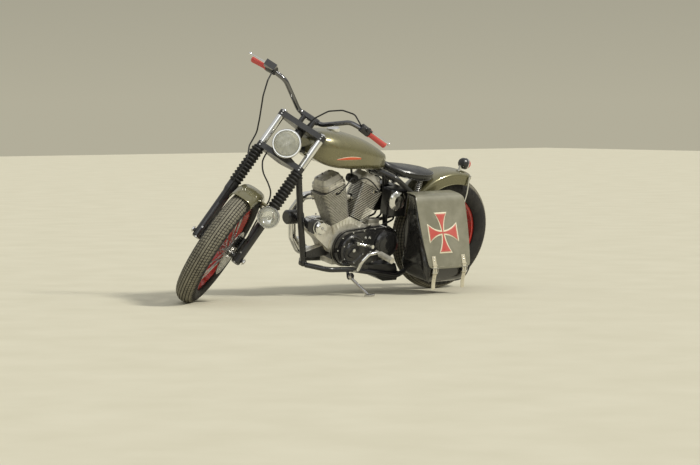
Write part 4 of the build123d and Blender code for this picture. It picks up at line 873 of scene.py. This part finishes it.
def cross_patches(reach_x, reach_z, narrow, wide, grow, proud):
    parts = []
    for c, s in ((1, 0), (0, 1), (-1, 0), (0, -1)):
        reach, flare = (reach_z, wide * 0.93) if s else (reach_x, wide)
        points = []
        for step in range(17):
            share = step / 16
            out = share * (reach + grow)
            half = narrow + (flare - narrow) * share ** 2.1 + grow * (1.2 if share < 0.97 else 1)
            points += [on_flap(260 + c * out - s * half * across, 408 + s * out + c * half * across, proud)
                       for across in np.linspace(-1, 1, 11)]
        parts.append((points, grid_faces(17, 11)))
    return parts


thickened(gathered("cross_border", cross_patches(98, 96, 5, 43, 5.5, 0.35), "frame", CROSS_CREAM, 60), 0.0009)
thickened(gathered("cross_face", cross_patches(96, 94, 4, 40, 0, 0.95), "frame", CROSS_RED, 60), 0.0009)


# Straps, keepers and buckles

def ribbon(points, width, thickness):
    """A flat strap across x along points in y and z, drawn in to a rounded tip."""
    line = curved(points, 6)
    rows = []
    for index, point in enumerate(line):
        way = (line[min(index + 1, len(line) - 1)] - line[max(index - 1, 0)]).normalized()
        normal = Vector((0, -way.z, way.y)) * (-1 if way.z > 0 else 1)
        narrow = {4: 0.97, 3: 0.9, 2: 0.74, 1: 0.42}.get(len(line) - index, 1.0)
        for up in SIDES:
            for across in (-1, -0.92, 0, 0.92, 1):
                lift = up * thickness / 2 * (0.65 if abs(across) == 1 else 1)
                rows.append(tuple(point + normal * lift + Vector((up * across * width / 2 * narrow, 0, 0))))
    return rows, grid_faces(len(line), 10, True, caps=True)


STUD = [(4.2, 0), (3.8, 1.2), (2.4, 2.2), (0, 2.6)]
EYELET = [(2.6, 0), (2.6, 0.5), (1.4, 0.5), (1.4, 0.1), (0, 0.1)]
straps, buckles, keepers, studs = [], [], [], []
for x in (352, 146):
    face = [on_flap(x, z, 2.2) for z in (296, 280, 262, 246, 236)]
    foot_y = face[-1][1]
    tail = [(x, foot_y + y, z) for y, z in ((1.5, 222), (0.5, 200), (-2, 172), (-1, 148), (1.5, 130), (2.5, 119.5))]
    straps.append(ribbon([*face, *tail], 25, 3.2))
    centre = Vector((x, foot_y + 3.2, 226))
    wire = [centre + Vector((dx, 0.8, dz)) for dx, dz in ((-17, -12), (17, -12), (17, 12), (-17, 12))]
    buckles.append(tube(wire, 2.2, 8, True))
    buckles.append(strut(centre + Vector((0, 2.2, 12)), centre + Vector((0, 2.8, -14)), 1.7, 10))
    for y, z in ((foot_y + 1.5, 208), (on_flap(x, 252, 3.8)[1], 252)):
        loop = [(x + dx, y + dy, z) for dx, dy in ((-15, -3.2), (15, -3.2), (15, 2.4), (-15, 2.4))]
        keepers.append(tube(loop, 2.6, 6, True))
    for z in (288, 273):
        studs.append(turned(STUD, aimed(on_flap(x, z, 3.6), (0, 1, 0.45)), 16))
    for z in (196, 182, 168, 154):
        studs.append(turned(EYELET, aimed((x, foot_y + 1.1 - (196 - z) * 0.06, z)), 12))
gathered("bag_straps", straps, "frame", STRAP_LEATHER, 40)
gathered("strap_buckles", buckles, "frame", CHROME)
gathered("strap_keepers", keepers, "frame", STRAP_LEATHER)
gathered("strap_studs", studs, "frame", DULL_CHROME)


# Piping down the bag's two outer seams and round its foot

def bag_corner(z, side, share=0.915):
    back, front, narrow = between(z, BAG_ROWS)
    half_x, half_y = BAG_HALF * (1 - narrow), (front - back) / 2 - 2
    return BAG_X + side * half_x * share, (front + back) / 2 + half_y * share + 1, z


seams = []
for side in SIDES:
    line = [bag_corner(z, side) for z in (584, 540, 480, 400, 320, 262, 232, 205, 184, 168, 156, 147, 142)]
    seams.append(tube(curved(line, 5), 3.2, 8))
gathered("bag_piping", seams, "frame", SEAT_LEATHER, 60)

# Engine trim: head bolts and pushrod collars
heads, collars = [], []
for lean in SIDES:
    place, inward = CYLINDER[lean], -12 * lean
    for x, y in ((-40, -32), (-40, 32), (40, -32), (40, 32), (0, 38), (0, -38)):
        heads.append(bolt(6, 6, place @ Matrix.Translation((inward + x, y, 403.6))))
    for size, x, y, z in ((5, -54, 66, 352), (5, 54, 66, 352), (5, 0, 67.8, 352),
                          (4, -40, 63.8, 368), (4, 0, 63.8, 368), (4, 40, 63.8, 368)):
        heads.append(screw(size, size, place @ aimed((inward + x, y, z))))
    collars.append(turned([(17, 0), (27, 0), (27, 5), (17, 5)], place @ Matrix.Translation((0, 0, 340)), 40, True))
for lean, base_x, top_x in ((1, 744, -8), (1, 718, -34), (-1, 682, 34), (-1, 656, 8)):
    base, top = Vector((base_x, -80, 402)), CYLINDER[lean] @ Vector((top_x, -62, 342))
    way = (top - base).normalized()
    for start, r, tall in ((base, 13, 12), (base + way * 40, 10.5, 14), (top - way * 16, 12, 14)):
        profile = [(7, 0), (r, 0), (r + 0.8, 2), (r + 0.8, tall - 2), (r, tall), (7, tall)]
        collars.append(turned(profile, aimed(start, way), 28, True))
gathered("engine_bolts", heads, "frame", DULL_CHROME)
gathered("pushrod_collars", collars, "frame", CHROME)


def hull_walk(first, second, radius, count):
    """Points evenly round two circles of one radius joined by their tangents."""
    along = Vector(second) - Vector(first)
    start = math.atan2(along.x, -along.y)
    line = [Vector(middle) + radius * Vector((math.cos(turn + t), math.sin(turn + t)))
            for middle, turn in ((first, start), (second, start + math.pi)) for t in np.linspace(0, math.pi, 40)]
    line.append(line[0])
    lengths = np.cumsum([0] + [(after - before).length for before, after in zip(line, line[1:])])
    at = lengths[-1] * np.arange(count) / count
    return list(zip(*(np.interp(at, lengths, values).tolist() for values in zip(*line))))


# Screws, plugs and raised rings on the primary cover, which runs between two shafts
SHAFT, CLUTCH = (700, 283), (470, 305)
PLUGS = ((614, 108, 344), (586, 108, 343))
primary = screws(4, 5.5, [(x, 99.5, z) for x, z in hull_walk(SHAFT, CLUTCH, 90, 14)])
primary += screws(6.5, 5, PLUGS) + bolts(7, 6, [(700, 127.5, 283)]) + screws(7, 5, [(569, 108, 262)])
primary += [turned([(6.5, 0), (9.5, 0), (9.5, 1.2), (6.5, 1.2)], aimed(spot), 24, True) for spot in PLUGS]
primary += screws(3.4, 3.4, [(700 + x, 121, 283 + z) for x, z in circle(6, 71, 20)])
gathered("primary_screws", primary, "frame", CHROME)
rings = []
for (x, z), y, r, foot, crest in ((SHAFT, 115.6, 57, 1.2, 0.8), (SHAFT, 115.6, 50, 1.2, 0.8),
                                  (CLUTCH, 107.6, 83, 1.4, 0.9), (CLUTCH, 132.8, 61, 1.4, 0.9)):
    raised = [(r - foot, 0), (r + foot, 0), (r + crest, foot), (r - crest, foot)]
    rings.append(turned(raised, aimed((x, y, z)), 72, True))
gathered("primary_rings", rings, "frame", COVER_BLACK)

# Screws of the gear cover and of the case behind it, the air cleaner's bolt and ribs, and the carburettor's top
GEAR_SPOTS = ((654, 262), (690, 210), (752, 236), (840, 400), (800, 430), (640, 400), (600, 352), (612, 300),
              (760, 330))
CASE_SPOTS = ((440, 262), (440, 362), (520, 372), (540, 268), (400, 312))
right = screws(4.5, 5, [(x, -103.7, z) for x, z in GEAR_SPOTS] + [(x, -111.7, z) for x, z in CASE_SPOTS], RIGHT)
right += screws(3.2, 3, [(710 + x, -114.3, 320 + z) for x, z in circle(3, 37, 90)], RIGHT)
right += bolts(9, 8, [(700, -199.6, 545)], RIGHT) + screws(3.4, 4, [(680, -120, 574.6), (720, -120, 574.6)], UP)
gathered("right_side_screws", right, "frame", DULL_CHROME)
vane = [(65.6, 0), (67.6, 0.8), (67.6, 2), (65.6, 2.8)]
vanes = [turned(vane, aimed((700, -157 - 7 * step, 545), RIGHT), 64, True) for step in range(5)]
gathered("air_cleaner_ribs", vanes, "frame", DULL_CHROME)

# Bands and screws on the generator
bands = [turned([(36.8, 0), (38.4, 0.6), (38.4, wide - 0.6), (36.8, wide)], aimed((920, y, 410)), 56, True)
         for y, wide in ((48, 9), (62, 5), (78, 6))]
gathered("generator_bands", bands, "frame", CHROME)
ends = [(920 + 24 * math.cos(a), 112.6, 410 + 24 * math.sin(a)) for a in (0.6, 3.74)]
gathered("generator_screws", bolts(7, 5, [(920, 113.6, 410)]) + screws(3.2, 4, ends), "frame", DULL_CHROME)

# Spark plugs, their leads, the coil and the oil lines
plugs, insulators, caps, leads = [], [], [], []
for lean in SIDES:
    root = CYLINDER[lean] @ Vector((6 * lean, 70, 318))
    out = Vector((0.25 * lean, 1, 0.35)).normalized()
    place = aimed(root, out)
    plugs.append(bolt(9, 8, place))
    insulators.append(turned([(4.4, 8), (5.4, 10), (4.2, 13), (4.6, 15), (3.6, 19), (0, 19)], place, 20))
    caps.append(turned([(5.6, 15), (6.8, 17), (6.8, 27), (5.4, 32), (3.4, 35), (0, 35)], place, 20))
    line = [root + out * 33, root + out * 47, (700 + 88 * lean, 104, 640 - 6 * lean), (700 + 46 * lean, 92, 668),
            (700 + 10 * lean, 84, 660), (700 + 10 * lean, 74, 656)]
    leads.append(tube(curved(line, 8), 3.6, 10))
gathered("spark_plugs", plugs, "frame", DULL_CHROME)
gathered("plug_insulators", insulators, "frame", CREAM_LINE)
COIL = aimed((700, 2, 656))
caps.append(turned([(0, 6), (20, 6), (23, 9), (23, 62), (20, 66), (9, 67), (9, 72), (0, 72)], COIL, 36))
gathered("plug_caps_and_coil", caps, "frame", RUBBER)
strap = turned([(22.8, 20), (25, 20), (25, 34), (22.8, 34)], COIL, 36, True)
gathered("coil_bracket", [strap, strut((700, 30, 680), (700, 22, 706), 6)], "frame", SATIN_BLACK)
pipes = [[(384, -60, 456), (384, -64, 420), (420, -68, 392), (456, -60, 384)],
         [(424, -60, 456), (424, -70, 424), (470, -74, 404), (500, -56, 392)],
         [(404, 60, 456), (404, 66, 428), (446, 70, 410), (470, 52, 390)]]
leads += [tube(curved(line, 8), 5.4, 10) for line in pipes]
gathered("leads_and_hoses", leads, "frame", HOSE, 60)
clips = [turned([(5.2, -4), (6.8, -3.4), (6.8, 3.4), (5.2, 4)], aimed((x, y, z - 10), UP), 20, True)
         for (x, y, z), *_ in pipes]
gathered("hose_clips", clips, "frame", DULL_CHROME)

# The voltage regulator on its bracket behind the rear cylinder
fin, plate = [(-2, -24), (2, -24), (2, 24), (-2, 24)], [(-6, -26), (74, -26), (74, 26), (-6, 26)]
block = [(*prism_parts(fin, 26, 1), Matrix.Translation((500 + step * 8.4, 40, 404))) for step in range(9)]
block.append((*prism_parts(plate, 12, 1), Matrix.Translation((500, 40, 395))))
gathered("regulator", block, "frame", CASE_ALLOY)
arms = (((497, 68, 400), (470, 96, 392)), ((560, 68, 400), (600, 88, 398)), ((470, 96, 392), (420, 98, 372)))
gathered("regulator_bracket", [strut(*ends, 4) for ends in arms], "frame", DULL_CHROME)

# The oil tank's filler and the screws of its round cover
filler = BIKE @ Matrix.Translation((372, -70, 611))
lathe("filler_cap", [(0, 0), (20, 0), (21, 3), (21, 10), (18, 13), (0, 14)], filler, "frame", CHROME, 40)
spots = [(437 + 45 * math.cos(a), 123, 542 + 45 * math.sin(a)) for a in (0.8, 2.9, 5.0)]
gathered("tank_cover_screws", screws(4, 4, spots), "frame", DULL_CHROME)


# Tank: a plain tapering stripe low on each side, laid on the paint

tank_y = surface_of(NODES["fuel_tank"])


def stripe_parts(half, proud):
    parts = []
    for side in SIDES:
        points = []
        for step in range(41):
            share = step / 40
            x = 724 + 168 * share
            tall = math.sin(math.pi * min(1, 0.12 + share * 0.88)) ** 0.6
            middle = 783 + 4 * math.sin(math.pi * share)
            for z in (middle + tall * np.linspace(-half, half, 5)).tolist():
                points.append((x, tank_y(x, z, side * 100, side) + side * proud, z))
        parts.append((points, grid_faces(41, 5)))
    return parts


thickened(gathered("tank_stripe_border", stripe_parts(9.5, 0.25), "frame", CREAM_LINE, 60), 0.0004)
thickened(gathered("tank_stripe", stripe_parts(7, 0.6), "frame", STRIPE, 60), 0.0004)


# Wheel trim: spoke nipples, valves, the brake disc's drilled holes as black slugs of painted shade, axle nuts

def spun(point, degrees):
    return Matrix.Rotation(math.radians(degrees), 4, "Z") @ Vector(point)


NIPPLE = [(0, 0), (4.6, 0), (4.6, 3), (3.6, 5), (3.4, 17), (0, 17)]
VALVE = [(5, -2), (5, 2), (4, 4), (3.6, 20), (4.2, 21), (4.2, 31), (3, 33), (0, 33)]
for hub, body, well, spread, flange in (
        (FRONT_HUB, "front_wheel", 233, 58, 35), (REAR_HUB, "rear_wheel", 195, 52, 41)):
    nipples = []
    for index in range(40):
        side, lead = (1 if index % 2 else -1), (1 if index % 4 < 2 else -1)
        start = spun((flange, 0, side * spread), 9 * index + 62 * lead)
        end = spun((well, 0, side * 6), 9 * index)
        along = (start - end).normalized()
        nipples.append(turned(NIPPLE, hub @ aimed(end - along * 1.5, along), 8))
    gathered(body + "_nipples", nipples, body, DULL_CHROME)
    gathered(body + "_valve", [turned(VALVE, hub @ aimed((well, 4, 0), (-1, 0, 0.25)), 16)], body, RUBBER)
# Black slugs fill the disc's holes as painted shade of what is seen through them
hole = [(0, 67.2), (4.2, 67.2), (4.2, 72.8), (0, 72.8)]
spots = circle(24, 118) + circle(24, 104, 7.5) + circle(18, 90)
hole_shades = [turned(hole, FRONT_HUB @ Matrix.Translation((x, y, 0)), 12) for x, y in spots]
gathered("front_disc_holes_painted_shade", hole_shades, "front_wheel", SATIN_BLACK)
carriers = [bolt(6, 5, FRONT_HUB @ aimed((x, y, 73.8), UP)) for x, y in circle(5, 26)]
gathered("front_disc_bolts", carriers, "front_wheel", DULL_CHROME)

nuts = []
for side in SIDES:
    nuts += bolts(15, 12, [(0, side * 124.2, 320)], (0, side, 0))
    nuts += screws(6, 5, [(-84, side * 98.2, 652), (-16, side * 115.4, 346)], (0, side, 0))
gathered("rear_axle_nuts", nuts, "frame", DULL_CHROME)
caliper = bolts(8, 6, [(-38.6, 101.2, -493), (-38.6, 101.2, -437)])
caliper.append(turned([(0, 0), (16, 0), (16, 3), (12, 5), (0, 5)], aimed((-38.6, 101, -465)), 28))
gathered("caliper_bolts", caliper, "fork", DULL_CHROME)


# Weld beads where the frame's tubes meet

def bead(centre, axis, radius):
    ring, count, sides, ripples = [], 48, 6, 16
    for step, (x, y) in enumerate(circle(count)):
        thick = 1.9 + 0.35 * math.sin(2 * math.pi * ripples * step / count)
        ring += [((radius + out) * x, (radius + out) * y, up * 1.3) for out, up in circle(sides, thick)]
    return ring, grid_faces(count, sides, True, True), aimed(centre, axis)


beads = [bead((1026, 0, 660), (-0.2, 0, -1), 17)]
beads += [bead(centre, (-0.17, 0, -1), 14) for centre in ((446, 0, 650), (363, 0, 166))]
beads += [bead((32, side * 118.6, 302), (0.9, 0, -0.42), 14) for side in SIDES]
beads += [bead((44, side * 128, 366), (0.82, 0, 0.56), 14) for side in SIDES]
gathered("weld_beads", beads, "frame", SATIN_BLACK, 60)


# Fenders: the CAD's bent channel with a pressed crown and wired edges

def fender_parts(centre, radius, half_width, skirt, start, end, power):
    rise, wall, steps = 34, 3, 48
    outline = [(radius - skirt, -half_width)]
    for step in range(33):
        turn = math.pi * (step / 32)
        across = -math.cos(turn)
        wide = half_width * math.copysign(abs(across) ** (2 / power), across)
        outline.append((radius - rise + rise * math.sin(turn) ** (2 / power), wide))
    outline.append((radius - skirt, half_width))
    inner = []
    for index, (out, wide) in enumerate(outline):
        before, after = outline[max(index - 1, 0)], outline[min(index + 1, len(outline) - 1)]
        run = Vector((after[0] - before[0], after[1] - before[1])).normalized()
        inner.append((out - wall * run.y, wide + wall * run.x))
    ring = outline + inner[::-1]
    count = len(ring)

    def placed(angle, out, wide):
        return centre[0] + out * math.cos(angle), wide, centre[2] + out * math.sin(angle)

    angles = [math.radians(start + (end - start) * step / steps) for step in range(steps + 1)]
    points = [placed(angle, out, wide) for angle in angles for out, wide in ring]
    faces = grid_faces(steps + 1, count, True)
    for base in (0, steps * count):
        last = base + count - 1
        faces += [(base + i, base + i + 1, last - i - 1, last - i) for i in range(len(outline) - 1)]
    low, side = radius - skirt + 1, half_width - 1.5
    edge = [placed(angle, low, side) for angle in angles]
    edge += [placed(angles[-1], out - 1.5, wide) for out, wide in outline[::-1][2:-2]]
    edge += [placed(angle, low, -side) for angle in angles[::-1]]
    edge += [placed(angles[0], out - 1.5, wide) for out, wide in outline[2:-2]]
    return [(points, faces), tube(edge, 2.6, 8, True)]


rear_crown = gathered("rear_fender_crown", fender_parts(REAR_AXLE, 358, 88, 70, 24, 107, 3.2), "frame", OLIVE, 40)
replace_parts(rear_crown, "rear_fender")
crown = fender_parts(FRONT_AXLE, 352, 62, 42, 40, 116, 2.8)
crown += [strut((FORK_OFFSET, side * 60, -226), (FORK_OFFSET, side * 90.8, -226), 9) for side in SIDES]
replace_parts(gathered("front_fender_crown", crown, "fork", OLIVE, 40), "front_fender")

# Ends on the exhaust pipes: a chrome lip round a black disc set just inside, painted shade of the open bore
tips, bore_shades = [], []
for end, before in (((60, -176, 190), (560, -160, 212)), ((60, -186, 250), (420, -172, 268))):
    place = aimed(end, Vector(end) - Vector(before))
    tips.append(turned([(22, 0), (22.2, 1), (22.2, 15), (21.4, 16), (19.8, 15.5), (19.6, 14), (19.6, 0)], place, 40))
    # The black disc just inside each tip is painted shade of the pipe's bore
    bore_shades.append(turned([(19.6, 14), (19.5, 13), (19.3, 1), (0, 0.6)], place, 40))
gathered("exhaust_tips", tips, "frame", CHROME)
gathered("exhaust_bore_shades", bore_shades, "frame", SATIN_BLACK)

# The brake hose from the lower tree to the caliper
hose_line = [(52, -70, 12.5), (55, -69, -12), (66, -58, -50), (68, -24, -92), (58, 28, -124), (44, 62, -152),
             (30, 78, -190), (23, 80, -226), (18, 82, -262), (4, 84, -330), (-22, 88, -384), (-36, 90, -408),
             (-38.6, 90, -419)]
gathered("brake_hose", [tube(curved(hose_line, 6), 4)], "fork", HOSE, 60)
unions = bolts(6.5, 7, [(52, -70, 13)], (0, 0, -1)) + bolts(6.5, 7, [(-38.6, 90, -419)], UP)
gathered("brake_hose_unions", unions, "fork", DULL_CHROME)


# Floor, light and camera

def sun(name, direction, strength, angle, color):
    data = bpy.data.lights.new(name, "SUN")
    data.energy, data.angle, data.color = strength, math.radians(angle), color
    linked(name, data).rotation_euler = Vector(direction).to_track_quat("Z", "Y").to_euler()


ground = bpy.data.meshes.new("studio_floor")
ground.from_pydata([(-30, -30, 0), (30, -30, 0), (30, 30, 0), (-30, 30, 0)], [], [(0, 1, 2, 3)])
floor = linked("studio_floor", ground)
finish = Shader("floor_finish", rough=0.9, specular=0.1)
finish.set(color=finish.mix(finish.cloud(3, 4, 0.3, 0.7), (0.6, 0.57, 0.45), (0.64, 0.61, 0.49)))
ground.materials.append(finish.material)

world = bpy.data.worlds.new("studio")
bpy.context.scene.world = world
world.use_nodes = True
sky = world.node_tree
background = sky.nodes["Background"]
background.inputs[1].default_value = 0.62
ramp = sky.nodes.new("ShaderNodeValToRGB")
height = sky.nodes.new("ShaderNodeSeparateXYZ")
sky.links.new(sky.nodes.new("ShaderNodeTexCoord").outputs["Generated"], height.inputs[0])
sky.links.new(height.outputs[2], ramp.inputs[0])
sky.links.new(ramp.outputs[0], background.inputs[0])
low, high = ramp.color_ramp.elements
low.position, low.color = 0.0, (0.72, 0.68, 0.52, 1)
high.position, high.color = 0.7, (1.0, 1.0, 0.98, 1)
for position, tone in ((0.1, (0.5, 0.48, 0.38, 1)), (0.22, (0.62, 0.61, 0.54, 1))):
    ramp.color_ramp.elements.new(position).color = tone
sun("sun", (-0.40, 0.77, 0.85), 2.3, 9, (1, 0.97, 0.88))
sun("fill", (0.7, 0.5, 0.5), 0.35, 40, (0.95, 0.98, 1))
bpy.context.scene.view_settings.view_transform = "Standard"

FOCAL_PIXELS, PICTURE_WIDTH, SENSOR = 2489.2, 700, 36
camera_data = bpy.data.cameras.new("camera")
camera = linked("camera", camera_data)
camera.location = (9.034 + SHIFT.x, 10.402 + SHIFT.y, 1.032)
target = Vector((0.5853 + SHIFT.x, SHIFT.y, 0.3253))
camera.rotation_euler = (target - camera.location).to_track_quat("-Z", "Y").to_euler()
camera_data.sensor_width, camera_data.lens = SENSOR, FOCAL_PIXELS * SENSOR / PICTURE_WIDTH
camera_data.clip_end = 100
bpy.context.scene.camera = camera
